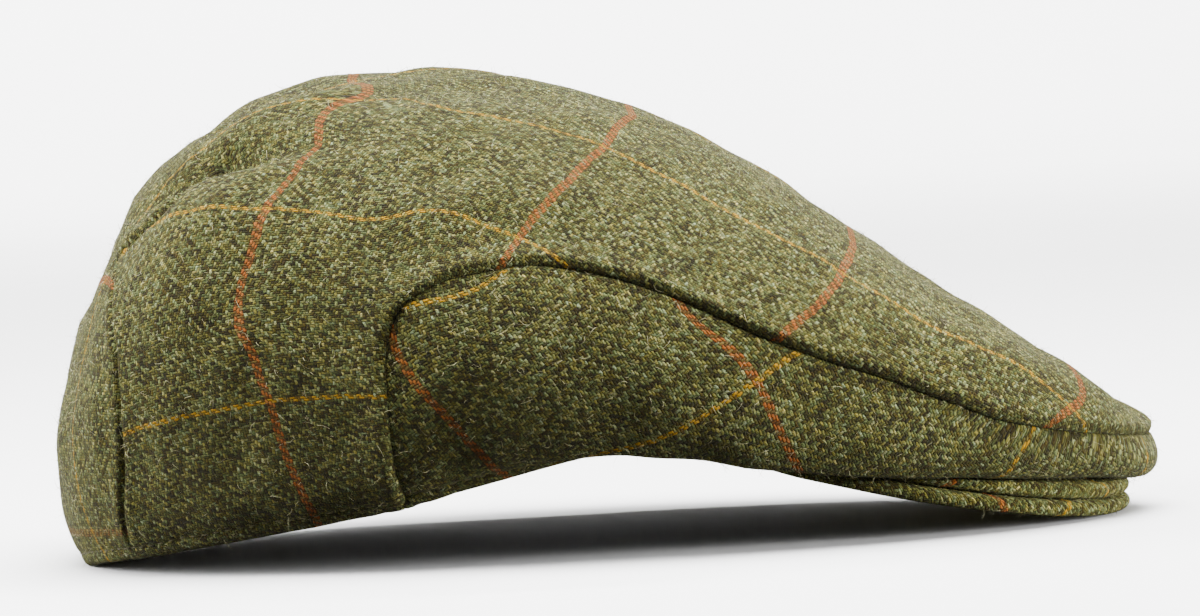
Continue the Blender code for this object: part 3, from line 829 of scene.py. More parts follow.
@dataclass
class TopPanel:
    """The one-piece top of the crown, cut with a dart at each back corner."""

    form: CrownForm
    weave: Weave
    low_rows: int = 34
    high_rows: int = 72
    flap_columns: int = 42
    back_columns: int = 18
    front_columns: int = 84
    slit_way: float = 0.62
    orange_at: float = 0.050
    orange_run: float = 0.063
    yellow_at: float = -0.0365
    yellow_run: float = 0.0467

    # The coarse copy that is laid flat: its columns and rows, and where its middle and front start out
    coarse_columns = (9, 4, 14)
    coarse_rows = (8, 12)
    flat_middle = 0.09
    flat_front = 0.06
    # Lengths of cloth that set the fine steps: the back strip, the flap, under the corner and over it
    strip_run = 0.060
    flap_run = 0.090
    low_run = 0.080
    high_run = 0.130
    # Places that the front columns take up after the seam at 2
    front_places = 10
    # The rows end a little short of the middle
    last_row = 0.99

    # Where the check runs over the top, from the hem of the right side up
    lines = (
        CheckLine(Line.ORANGE, 0, (
            (55.0, 0.860), (49.0, 0.780), (52.7, 0.653), (49.5, 0.547), (49.2, 0.390), (56.2, 0.233),
            (62.7, 0.077),
        )),
        CheckLine(Line.ORANGE, 1, ((143.7, 0.840), (107.7, 0.723), (89.2, 0.523), (85.5, 0.440))),
        CheckLine(Line.ORANGE, 2, ((139.0, 0.603), (122.7, 0.487), (111.2, 0.353))),
        CheckLine(Line.ORANGE, 3, ((151.5, 0.373), (142.0, 0.303))),
        CheckLine(Line.ORANGE, -1, ((-18.0, 0.467), (-6.0, 0.470), (6.0, 0.470), (18.0, 0.467))),
        CheckLine(Line.ORANGE, -2, ((-22.2, 0.083), (-8.0, 0.083), (8.0, 0.083), (22.2, 0.083))),
        CheckLine(Line.YELLOW, -2, ((30.2, 0.233), (44.5, 0.240), (56.0, 0.240), (71.7, 0.230))),
        CheckLine(Line.YELLOW, -1, (
            (22.0, 0.560), (40.2, 0.560), (57.0, 0.543), (70.2, 0.510), (76.5, 0.527), (86.0, 0.497),
            (91.7, 0.447),
        )),
        CheckLine(Line.YELLOW, 0, (
            (68.5, 0.847), (82.0, 0.790), (92.0, 0.777), (107.7, 0.723), (116.2, 0.633), (126.2, 0.537),
            (130.5, 0.433), (147.5, 0.310),
        )),
    )

    def columns(self, flap: int, back: int, front: int) -> tuple[Array, Array]:
        """Sets out the columns round the crown.

        Args:
            flap: Steps from the dart to the upright seam.
            back: Steps from the middle of the back to the dart.
            front: Steps from the upright seam to the middle of the front.

        Returns:
            Column places behind the seams, where 1 is the dart and 2 the seam, and angles of the front
            columns in degrees.
        """
        fine = SEAM_STEPS if flap == self.flap_columns else ()
        strip = ladder(self.strip_run, back, (), fine)
        wing = 1 + ladder(self.flap_run, flap, fine, fine)
        half = np.concatenate([strip, wing[1:]])
        behind = np.concatenate([-half[:0:-1], half])
        share = np.linspace(0, 1, front + 1)[1:]
        first = self.form.long_seam_rows[0][0]
        right = first + (180 - first) * share
        return behind, np.concatenate([right, 360 - right[-2::-1]])

    def back_angles(self, places: Array, way: Array | float) -> Array:
        """Returns the angles in degrees of the columns behind the seams."""
        form = self.form
        gap = math.degrees(form.sizes.seam_gap / 2 / form.sizes.round_run)
        dart, seam = form.dart_angle(way), form.side_seam(np.minimum(way, form.corner_way)) - gap
        size = np.abs(places)
        return np.sign(places) * np.where(size < 1, size * dart, dart + (size - 1) * (seam - dart))

    def rows(
        self, behind: Array, around: Array, low: int, high: int
    ) -> list[tuple[Array, Array, Array, float]]:
        """Sets out the rows from the hem to the middle.

        Args:
            behind: Column places behind the seams.
            around: Angles of the front columns in degrees.
            low: Rows under the corner where the seams meet.
            high: Rows above it.

        Returns:
            For each row its angles in degrees, ways, distances to the seam and its place from 0 to 2.
        """
        form, s = self.form, self.form.sizes
        corner = form.corner_way
        lift = form.hem_way(self.back_angles(behind, 0.015))
        folded = np.minimum(around, 360 - around)
        edge = form.long_seam(folded) + s.seam_gap / 2 / s.up_run
        out = []
        hem_steps, seam_steps = (HEM_STEPS, SEAM_STEPS) if low == self.low_rows else ((), ())
        for share in ladder(self.low_run, low, hem_steps, seam_steps)[:-1]:
            way = lift + (corner - lift) * share
            degrees = self.back_angles(behind, way)
            away = (form.side_seam(way) - np.abs(degrees)) * math.radians(1) * s.round_run
            out.append((degrees, way, away, share))
        for share in ladder(self.high_run, high, seam_steps)[:-1]:
            share *= self.last_row
            way_back = corner + (1 - corner) * share
            way_front = edge + (1 - edge) * share
            degrees = np.concatenate([self.back_angles(behind, way_back), around])
            side = (form.side_seam(corner) - np.abs(degrees[:len(behind)])) * math.radians(1) * s.round_run
            over = (way_front - edge) * s.up_run
            away = np.concatenate([np.hypot(side, (way_back - corner) * s.up_run), over])
            way = np.concatenate([np.full(len(behind), way_back), way_front])
            out.append((degrees, way, away, 1 + share))
        return out

    def flatten(self) -> tuple[list[Array], Array, Array, Array, Cut]:
        """Lays a coarse copy of the panel flat, slit open along its darts.

        Returns:
            Flat coordinates by block, the row places, the column numbers of the blocks, the middle's place
            and the cut's size.
        """
        behind, around = self.columns(*self.coarse_columns)
        rows = self.rows(behind, around, *self.coarse_rows)
        points, index = [], []
        total = 0
        for degrees, way, _, _ in rows:
            place, _ = self.form.surface(np.radians(degrees), way)
            points.append(place)
            index.append(np.arange(total, total + len(degrees)))
            total += len(degrees)
        middle, _ = self.form.surface(np.zeros(1), np.ones(1))
        points.append(middle)
        middle_at = total
        total += 1
        darts = [int(np.argmin(np.abs(behind - side))) for side in (-1, 1)]
        copies: dict[tuple[int, int], int] = {}
        extra = []
        for r, (_, way, _, _) in enumerate(rows):
            if way[0] < self.slit_way:
                for column in darts:
                    copies[(r, column)] = total + len(extra)
                    extra.append(points[r][column])
        cloud = np.vstack(points + [np.array(extra)])
        width = len(behind)

        def corner(r: int, c: int, face: int) -> int:
            """Returns the point of a face's corner; beyond a dart it is the slit's other side."""
            beyond = (c == darts[1] and face >= darts[1]) or (c == darts[0] and face < darts[0])
            return copies[(r, c)] if beyond and (r, c) in copies else int(index[r][c])

        triangles = []
        for r in range(len(rows) - 1):
            here = len(rows[r][0])
            for c in range(here if here > width else width - 1):
                d = (c + 1) % here
                q = (corner(r, c, c), corner(r, d, c), corner(r + 1, d, c), corner(r + 1, c, c))
                if (r + c) % 2:
                    triangles += [(q[0], q[1], q[2]), (q[0], q[2], q[3])]
                else:
                    triangles += [(q[0], q[1], q[3]), (q[1], q[2], q[3])]
        last = index[-1]
        triangles += [(int(last[c]), int(last[(c + 1) % len(last)]), middle_at) for c in range(len(last))]
        copied = [[rows[r][0][c]] for r, c in copies]
        angle = np.radians(np.concatenate([row[0] for row in rows] + [[0.0]] + copied))
        way = np.concatenate([row[1] for row in rows] + [[1.0]] + [[rows[r][1][c]] for r, c in copies])
        reach = (1 - way) * self.form.sizes.up_run
        ahead = np.maximum(-np.cos(angle), 0)
        forward = self.flat_middle - reach * np.cos(angle) + self.flat_front * ahead
        start = np.stack([forward, -reach * np.sin(angle)], -1)
        cut = FlatCut(cloud, np.array(triangles), start)
        lines = []
        for line in self.lines:
            degrees, ways = np.array(line.points).T
            value = line.place((self.orange_at, self.yellow_at), (self.orange_run, self.yellow_run))
            lines.append((line.kind, value, self.form.surface(np.radians(degrees), ways)[0]))
            if line.kind is Line.ORANGE and line.value >= 0:
                lines.append((line.kind, value, self.form.surface(-np.radians(degrees), ways)[0]))
        flat = cut.solve(lines)
        span = flat.max(0) - flat.min(0)
        size = Cut(float(span[1]), float(span[0]), cut.area())
        full = np.full((len(rows) + 1, len(behind) + len(around) + 1, 2), np.nan)
        for r, ids in enumerate(index):
            full[r, : len(ids)] = flat[ids]
            if len(ids) > width:
                full[r, len(ids)] = flat[ids[0]]
        full[-1] = flat[middle_at]
        blocks = []
        bounds = (0, darts[0], darts[1], width - 1, len(behind) + len(around))
        for low, high in zip(bounds[:-1], bounds[1:]):
            block = full[:, low : high + 1].copy()
            for (r, c), k in copies.items():
                outside = (c == darts[0] and high == darts[0]) or (c == darts[1] and low == darts[1])
                if outside:
                    block[r, c - low] = flat[k]
            blocks.append(block)
        places = np.array([row[3] for row in rows] + [2.0])
        return blocks, places, np.array(bounds), flat[middle_at], size

    def line_places(self, behind: Array, around: Array) -> Array:
        """Sets the columns out on one line, up to 2 behind the seams and beyond it in front.

        Args:
            behind: Column places behind the seams.
            around: Angles of the front columns in degrees.

        Returns:
            The places, with the closing seam as the last.
        """
        first = self.form.long_seam_rows[0][0]
        front = 2 + (around - first) / (360 - 2 * first) * self.front_places
        return np.concatenate([behind, front, [2 + self.front_places]])

    def lay_threads(
        self, rows: list, behind: Array, around: Array
    ) -> tuple[list[Array], tuple, Array, Cut]:
        """Reads the flat coarse copy at every fine row and column, in thread counts.

        Args:
            rows: The fine rows.
            behind: Column places behind the seams.
            around: Angles of the front columns in degrees.

        Returns:
            Thread coordinates by block, the column numbers of the blocks, the middle's and the cut's size.
        """
        blocks, places, bounds, middle, cut = self.flatten()
        check = (self.orange_at, self.orange_run, self.yellow_at, self.yellow_run)
        lower = sum(len(row[0]) == len(behind) for row in rows)
        fine_places = np.array([row[3] for row in rows])
        darts = [int(np.argmin(np.abs(behind - side))) for side in (-1, 1)]
        fine_bounds = (0, darts[0], darts[1], len(behind) - 1, len(behind) + len(around))
        coarse_line = self.line_places(*self.columns(*self.coarse_columns))
        fine_line = self.line_places(behind, around)
        tables = []
        for number, block in enumerate(blocks):
            knots = coarse_line[int(bounds[number]) : int(bounds[number + 1]) + 1]
            at = fine_line[fine_bounds[number] : fine_bounds[number + 1] + 1]
            across = Spline.weights(knots, np.clip(at, knots[0], knots[-1]))
            ahead = number == len(blocks) - 1
            first, start = (self.coarse_rows[0], lower) if ahead else (0, 0)
            up = Spline.weights(places[first:], fine_places[start:])
            table = np.full((len(rows), len(at), 2), np.nan)
            table[start:] = np.einsum("rk,kjc,fj->rfc", up, block[first:], across)
            tables.append(self.weave.threads(table, *check))
        return tables, fine_bounds, self.weave.threads(middle, *check), cut

    def build(self, material: bpy.types.Material) -> tuple[bpy.types.Object, ShellMesh]:
        """Builds the panel.

        Args:
            material: The cloth's finish.

        Returns:
            The object and its mesh data.
        """
        form = self.form
        behind, around = self.columns(self.flap_columns, self.back_columns, self.front_columns)
        rows = self.rows(behind, around, self.low_rows, self.high_rows)
        outer, inner, index = [], [], []
        total = 0
        for degrees, way, away, _ in rows:
            out, into = form.skins(np.radians(degrees), way, form.sizes.seam_proud, away)
            outer.append(out)
            inner.append(into)
            index.append(np.arange(total, total + len(degrees)))
            total += len(degrees)
        out, into = form.skins(np.zeros(1), np.ones(1), 0.0, np.ones(1))
        outer.append(out)
        inner.append(into)
        tables, fine_bounds, centre, cut = self.lay_threads(rows, behind, around)
        faces, threads = [], []
        width = len(behind)
        for r in range(len(rows) - 1):
            here = len(rows[r][0])
            for c in range(here if here > width else width - 1):
                d = (c + 1) % here
                block = int(np.searchsorted(fine_bounds, c, side="right")) - 1
                k = c - fine_bounds[block]
                ids = (index[r][c], index[r][d], index[r + 1][d], index[r + 1][c])
                faces.append([int(i) for i in ids])
                t = tables[block]
                threads.append(np.array([t[r, k], t[r, k + 1], t[r + 1, k + 1], t[r + 1, k]]))
        last, r = index[-1], len(rows) - 1
        for c in range(len(last)):
            block = int(np.searchsorted(fine_bounds, c, side="right")) - 1
            k = c - fine_bounds[block]
            faces.append([int(last[c]), int(last[(c + 1) % len(last)]), total])
            t = tables[block]
            threads.append(np.array([t[r, k], t[r, k + 1], centre]))
        shell = ShellMesh(np.vstack(outer), np.vstack(inner), faces, threads)
        piece = Piece.make("top_panel", shell.points, shell.faces, material, shell.threads)
        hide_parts("crown_top")
        LOG.info("top cut %.3f x %.3f m, %.4f m2", cut.width, cut.length, cut.area)
        return piece, shell


@dataclass
class SidePanel:
    """A tapering side panel, from the upright seam to the middle of the front."""

    form: CrownForm
    weave: Weave
    side: Side
    rows: int = 34
    columns: int = 110
    orange_at: float = -0.104
    orange_run: float = 0.064
    yellow_at: float = -0.0286
    yellow_run: float = 0.0575

    lines = (
        CheckLine(Line.ORANGE, 0, ((72.7, 0.320), (74.7, 0.267), (78.5, 0.217), (86.2, 0.127))),
        CheckLine(Line.ORANGE, -1, (
            (103.7, 0.370), (106.7, 0.327), (109.0, 0.287), (111.5, 0.227), (119.0, 0.137),
        )),
        CheckLine(Line.YELLOW, 0, ((73.2, 0.367), (77.0, 0.373), (81.7, 0.387), (84.7, 0.410))),
        CheckLine(Line.YELLOW, 1, ((97.5, 0.113), (102.5, 0.183), (105.7, 0.240), (112.2, 0.323))),
        CheckLine(Line.YELLOW, 2, ((139.0, 0.273), (138.5, 0.197))),
    )
    # Cloth lengths that set the fine steps, the coarse copy's steps and how it is turned to lay it flat
    up_length = 0.065
    along_length = 0.200
    coarse = (10, 30)
    flat_turn = 128
    # Where the front stays short of a third orange line: angle in degrees, place in orange lines,
    # held at two ways under the seam
    hold_under = (0.012, 0.042)
    front_hold = (
        (131.0, -1.64), (138.0, -1.74), (145.0, -1.81), (152.0, -1.85),
        (159.0, -1.88), (165.0, -1.90), (172.0, -1.90), (179.0, -1.86),
    )

    def grid(self, rows: int, columns: int) -> tuple[Array, Array, Array, Array, Array]:
        """Sets out the panel on the right side.

        Args:
            rows: Steps from the hem to the seam.
            columns: Steps from the upright seam to the front.

        Returns:
            Angles in degrees, ways, distances to the nearest seam, and the row and column places.
        """
        form, s = self.form, self.form.sizes
        hem_steps, seam_steps = (HEM_STEPS, SEAM_STEPS) if rows == self.rows else ((), ())
        share = ladder(self.up_length, rows, hem_steps, seam_steps)[:, None]
        along = ladder(self.along_length, columns, seam_steps, seam_steps)[None, :]
        first = form.long_seam_rows[0][0]
        top = first + (180 - first) * along
        gap = math.degrees(s.seam_gap / 2 / s.round_run)
        edge = form.long_seam(top[0])[None, :] - s.seam_gap / 2 / s.up_run
        lift = form.hem_way(top)
        way = lift + share * (edge - lift)
        degrees = top + (form.side_seam(way[:, :1]) - first) * (1 - along) ** 2
        degrees = degrees + gap * (1 - along) - gap * 1.3 * along
        from_top = (edge - way) * s.up_run
        from_side = (degrees - degrees[:, :1]) * math.radians(1) * s.round_run
        return degrees, way, np.minimum(from_top, from_side), share[:, 0], along[0]

    def flatten(self) -> tuple[Array, Array, Array, Cut]:
        """Lays a coarse copy of the panel flat.

        Returns:
            Flat coordinates on the coarse grid, its row and column places and the cut's size.
        """
        degrees, way, _, up, along = self.grid(*self.coarse)
        points = self.form.surface(np.radians(degrees), way)[0]
        height, width = degrees.shape
        triangles = []
        for r in range(height - 1):
            for c in range(width - 1):
                a, b = r * width + c, (r + 1) * width + c
                if (r + c) % 2:
                    triangles += [(a, a + 1, b + 1), (a, b + 1, b)]
                else:
                    triangles += [(a, a + 1, b), (a + 1, b + 1, b)]
        cloud = points.reshape(-1, 3)
        turn = math.radians(self.flat_turn)
        c, s = math.cos(turn), math.sin(turn)
        start = np.stack([cloud[:, 0], cloud[:, 2]], -1) @ np.array([[c, -s], [s, c]]).T
        cut = FlatCut(cloud, np.array(triangles), start)
        lines = []
        for line in self.lines:
            spots = np.array(line.points).T
            value = line.place((self.orange_at, self.yellow_at), (self.orange_run, self.yellow_run))
            lines.append((line.kind, value, self.form.surface(np.radians(spots[0]), spots[1])[0]))
        for place, value in self.front_hold * 2:
            turned = np.full(2, place)
            ways = self.form.long_seam(turned) - self.hold_under
            at = self.orange_at + value * self.orange_run
            lines.append((Line.ORANGE, at, self.form.surface(np.radians(turned), ways)[0]))
        flat = cut.solve(lines)
        span = flat.max(0) - flat.min(0)
        return flat.reshape(height, width, 2), up, along, Cut(float(span[1]), float(span[0]), cut.area())

    def build(self, material: bpy.types.Material) -> tuple[bpy.types.Object, ShellMesh]:
        """Builds the panel.

        Args:
            material: The cloth's finish.

        Returns:
            The object and its mesh data.
        """
        form = self.form
        degrees, way, away, up, along = self.grid(self.rows, self.columns)
        outer, inner = form.skins(np.radians(degrees) * self.side.value, way, -form.sizes.seam_sunk, away)
        flat, coarse_up, coarse_along, cut = self.flatten()
        upward, onward = Spline.weights(coarse_up, up), Spline.weights(coarse_along, along)
        table = np.einsum("rk,kjc,fj->rfc", upward, flat, onward)
        table = self.weave.threads(table, self.orange_at, self.orange_run, self.yellow_at, self.yellow_run)
        height, width = degrees.shape
        faces, threads = [], []
        for r in range(height - 1):
            for c in range(width - 1):
                a, b = r * width + c, (r + 1) * width + c
                face = [a, a + 1, b + 1, b]
                places = np.array([table[r, c], table[r, c + 1], table[r + 1, c + 1], table[r + 1, c]])
                if self.side is Side.LEFT:
                    face, places = face[::-1], places[::-1]
                faces.append(face)
                threads.append(places)
        shell = ShellMesh(outer.reshape(-1, 3), inner.reshape(-1, 3), faces, threads)
        word = self.side.name.lower()
        piece = Piece.make(f"side_panel_{word}", shell.points, shell.faces, material, shell.threads)
        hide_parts(f"side_gusset_{word}")
        LOG.info("side cut %.3f x %.3f m, %.4f m2", cut.width, cut.length, cut.area)
        return piece, shell


@dataclass
class Peak:
    """The short curved peak: an upper and an under cloth that meet in two rolls along its rim."""

    form: CrownForm
    weave: Weave
    roll: float = 0.0042
    set_out: float = 0.0006
    gap: float = 0.0004
    drop: float = 0.0062
    start_angle: float = 120.0
    columns: int = 150
    look: float = 0.0015
    look_at_seam: float = 0.0003
    upper_check: tuple[float, float] = (0.2165, -0.034)
    under_check: tuple[float, float] = (0.2290, -0.050)
    check_run: tuple[float, float] = (0.063, 0.055)

    # Step, x (share of the length), half width (share of half the width), height (share of the height),
    # thickness (share of the roll)
    rim = (
        (0.00, 0.5517, 0.7768, 0.2050, 0.333),
        (0.15, 0.6025, 0.7684, 0.1793, 0.548),
        (0.30, 0.6679, 0.7453, 0.1510, 0.881),
        (0.45, 0.7405, 0.7000, 0.1129, 1.000),
        (0.60, 0.8131, 0.6263, 0.0788, 1.000),
        (0.75, 0.8820, 0.4842, 0.0515, 1.000),
        (0.90, 0.9419, 0.2368, 0.0365, 1.000),
        (1.00, 0.9612, 0.0000, 0.0365, 1.000),
    )
    shares = (0.0, 0.12, 0.25, 0.4, 0.55, 0.7, 0.85)
    turns = (90.0, 76.0, 60.0, 45.0, 30.0, 15.0, 0.0, -17.0, -35.0, -52.0, -70.0, -82.0)

    def rim_points(self) -> tuple[Array, Array, Array]:
        """Finds the inner edge, the rim and the thickness of every column.

        Returns:
            Inner points, rim points and thicknesses, from the right temple to the left.
        """
        s = self.form.sizes
        step = np.linspace(-1, 1, self.columns + 1)
        place = 1 - np.abs(step)
        side = np.where(step > 0, -1, 1)
        angle = np.radians(self.start_angle + (180 - self.start_angle) * place) * side
        hem = self.form.surface(angle, np.zeros_like(angle))[0]
        over = [(2 - row[0], row[1], -row[2], row[3], row[4]) for row in self.rim[-2::-1]]
        table = self.rim + tuple(over)
        scale = (s.length, -s.width / 2, s.height)
        rim = np.stack([Spline.table(table, c, place) for c in (1, 2, 3)], -1) * scale
        rim[:, 1] *= side
        inner = hem + self.form.hem_outward(angle) * self.set_out
        shift = np.array([s.origin_x, 0, 0])
        return inner + shift, rim + shift, Spline.table(table, 4, place) * self.roll

    def cloth_above(self, tree: BVHTree, point: Array, look: float) -> float:
        """Finds the lowest cloth over a small patch.

        Args:
            tree: The side panels.
            point: The middle of the patch.
            look: Its radius.

        Returns:
            A height, infinite where nothing is over it.
        """
        heights = [math.inf]
        for step in range(9):
            reach = 0.0 if step == 8 else look
            turn = math.pi / 4 * step
            start = Vector((point[0] + reach * math.cos(turn), point[1] + reach * math.sin(turn), -0.02))
            hit = tree.ray_cast(start, Vector((0, 0, 1)), 0.15)
            if hit[0] is not None:
                heights.append(hit[0].z)
        return min(heights)

    def sections(self, tree: BVHTree) -> tuple[Array, Array, Array, Array]:
        """Makes the cross sections of both cloths.

        Args:
            tree: The side panels.

        Returns:
            Closed loops of the upper and the under cloth, and how far along the cloth each point lies.
        """
        inner, rim, half = self.rim_points()
        begin = 0.25 + 0.75 * smooth_step(0.0, 0.24, 1 - np.abs(np.linspace(-1, 1, self.columns + 1)))
        uppers, unders, runs_up, runs_down = [], [], [], []
        seam = self.form.sizes.seam_gap / 2
        for start, end, thick, share_in in zip(inner, rim, half * begin, begin):
            drop = self.drop * share_in
            flat = np.array([end[0] - start[0], end[1] - start[1], 0.0])
            reach = np.linalg.norm(flat)
            out = flat / reach
            roll = min(thick * 0.62, reach * 0.35)
            line = []
            for share in self.shares:
                spot = start + out * (reach - roll) * share
                line.append((spot, start[2] - drop + (end[2] - start[2] + drop) * share**1.15))
            up, down = [], []
            for row, (spot, height) in enumerate(line):
                over = self.cloth_above(tree, spot, self.look if row else self.look_at_seam) - self.gap
                top = over if math.isfinite(over) else start[2] - self.gap
                up.append((spot[0], spot[1], min(height + thick, over) if row else top))
                down.append((spot[0], spot[1], height - thick))
            centre = start + out * (reach - roll)
            for turn in self.turns:
                c, s = math.cos(math.radians(turn)), math.sin(math.radians(turn))
                spot = centre + out * roll * c
                rise = max(thick * 0.5 * (1 + s), seam)
                over = self.cloth_above(tree, spot, self.look) - self.gap
                up.append((spot[0], spot[1], min(end[2] + rise, over)))
                down.append((spot[0], spot[1], end[2] - rise))
            closing_up = [(s[0], s[1], h + seam) for s, h in reversed(line)]
            closing_down = [(s[0], s[1], h - seam) for s, h in reversed(line)]
            cloths = ((uppers, runs_up, up, closing_up), (unders, runs_down, down, closing_down))
            for loops, runs, shown, hidden in cloths:
                loop = np.array(shown + hidden)
                steps = np.linalg.norm(np.diff(np.array(shown), axis=0), axis=1)
                run = np.concatenate([[0], np.cumsum(steps)])
                back = np.linspace(run[-1], 0, len(hidden) + 1)[1:]
                run = np.concatenate([run, back])
                loops.append(loop)
                runs.append(start[None, :2] + out[None, :2] * run[:, None])
        return np.array(uppers), np.array(unders), np.array(runs_up), np.array(runs_down)

    def cloth(
        self,
        name: str,
        node: str,
        loops: Array,
        runs: Array,
        flip: bool,
        places: tuple[float, float],
        material: bpy.types.Material,
    ) -> bpy.types.Object:
        """Makes one of the peak's cloths.

        Args:
            name: The object's name.
            node: The solid that it stands for.
            loops: Its cross sections.
            runs: Flat coordinates of their points.
            flip: Whether the faces turn the other way.
            places: Where an orange and a yellow line lie, in metres.
            material: The cloth's finish.

        Returns:
            The object.
        """
        columns, around = loops.shape[:2]
        table = self.weave.threads(runs, places[0], self.check_run[0], places[1], self.check_run[1])
        faces, threads = [], []
        for i in range(columns - 1):
            for j in range(around):
                k = (j + 1) % around
                face = [i * around + j, (i + 1) * around + j, (i + 1) * around + k, i * around + k]
                spots = np.array([table[i, j], table[i + 1, j], table[i + 1, k], table[i, k]])
                faces.append(face[::-1] if flip else face)
                threads.append(spots[::-1] if flip else spots)
        for row, turned in ((0, not flip), (columns - 1, flip)):
            ids = [row * around + j for j in range(around)]
            spots = table[row]
            faces.append(ids[::-1] if turned == flip else ids)
            threads.append(spots[::-1] if turned == flip else spots)
        points = loops.reshape(-1, 3)
        volume = 0.0
        for face in faces:
            a = points[face[0]]
            for m in range(1, len(face) - 1):
                volume += float(a @ np.cross(points[face[m]], points[face[m + 1]]))
        if volume < 0:
            faces = [f[::-1] for f in faces]
            threads = [t[::-1] for t in threads]
        piece = Piece.make(name, points, faces, material, threads)
        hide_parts(node)
        return piece

    def build(self, sides: list[ShellMesh], material: bpy.types.Material) -> list[bpy.types.Object]:
        """Builds both cloths of the peak.

        Args:
            sides: The side panels over the peak.
            material: The cloth's finish.

        Returns:
            The two objects.
        """
        points, faces, first = [], [], 0
        for shell in sides:
            points.append(shell.points)
            faces += [[i + first for i in face] for face in shell.faces]
            first += len(shell.points)
        tree = BVHTree.FromPolygons(np.vstack(points).tolist(), faces)
        uppers, unders, runs_up, runs_down = self.sections(tree)
        origin = self.form.sizes.origin_x
        high = (self.upper_check[0] + origin, self.upper_check[1])
        low = (self.under_check[0] + origin, self.under_check[1])
        upper = self.cloth("peak_upper_cloth", "peak_top", uppers, runs_up, False, high, material)
        under = self.cloth("peak_under_cloth", "peak_under", unders, runs_down, True, low, material)
        return [upper, under]


@dataclass
class HemStitches:
    """Small stitches that hold the turned-up hem, sunk in a shallow groove."""

    form: CrownForm
    pitch: float = 0.0034
    length: float = 0.0024
    radius: float = 0.00021
    around: int = 5
    stations: int = 5

    def path(self, first: float, last: float, proud: float) -> tuple[Array, Array]:
        """Finds a line along the hem.

        Args:
            first: Its first angle in degrees.
            last: Its last angle in degrees.
            proud: Rise of the panel beside its seams.

        Returns:
            Points of the line and the outward directions.
        """
        s = self.form.sizes
        angle = np.radians(np.linspace(first, last, 400))
        step = 0.02
        over = self.form.surface(angle, angle * 0 + step)[0]
        run = np.linalg.norm(over - self.form.surface(angle, angle * 0)[0], axis=1)
        way = self.form.hem_way(np.degrees(angle)) + step * s.stitch_height / run
        gap = math.degrees(s.seam_gap / 2 / s.round_run)
        turned = np.abs(np.degrees(angle))
        away = np.abs(self.form.side_seam(way) - gap - turned) * math.radians(1) * s.round_run
        outer, inner = self.form.skins(angle, way, proud, away)
        return outer, unit(outer - inner)

    def build(
        self, name: str, stretches: list[tuple[float, float, float]], material: bpy.types.Material
    ) -> bpy.types.Object:
        """Builds the stitches of one panel's hem.

        Args:
            name: The object's name.
            stretches: First angle, last angle and rise of the panel for each line.
            material: The thread's finish.

        Returns:
            The object.
        """
        points, faces = [], []
        turns = np.linspace(0, 2 * math.pi, self.around, endpoint=False)
        for first, last, proud in stretches:
            line, outward = self.path(first, last, proud)
            run = np.concatenate([[0], np.cumsum(np.linalg.norm(np.diff(line, axis=0), axis=1))])
            for start in np.arange(0.001, run[-1] - self.pitch, self.pitch):
                at = start + np.linspace(0, 1, self.stations) * self.length
                centre = np.stack([np.interp(at, run, line[:, c]) for c in range(3)], -1)
                out = unit(np.stack([np.interp(at, run, outward[:, c]) for c in range(3)], -1))
                side = unit(np.cross(out, unit(centre[-1] - centre[0])))
                bow = np.sin(np.linspace(0, math.pi, self.stations))[:, None]
                centre = centre + out * self.radius * (1.4 * bow - 0.7)
                girth = self.radius * (0.35 + 0.65 * bow)
                base = len(points) * self.around * self.stations
                round_side = np.cos(turns)[:, None] * side[:, None]
                round_out = np.sin(turns)[:, None] * out[:, None]
                ring = centre[:, None] + girth[:, None] * (round_side + round_out)
                points.append(ring.reshape(-1, 3))
                for k in range(self.stations - 1):
                    for m in range(self.around):
                        n = (m + 1) % self.around
                        low, high = base + k * self.around, base + (k + 1) * self.around
                        faces.append([low + m, low + n, high + n, high + m])
                faces.append([base + m for m in reversed(range(self.around))])
                faces.append([base + (self.stations - 1) * self.around + m for m in range(self.around)])
        return Piece.make(name, np.vstack(points), faces, material)


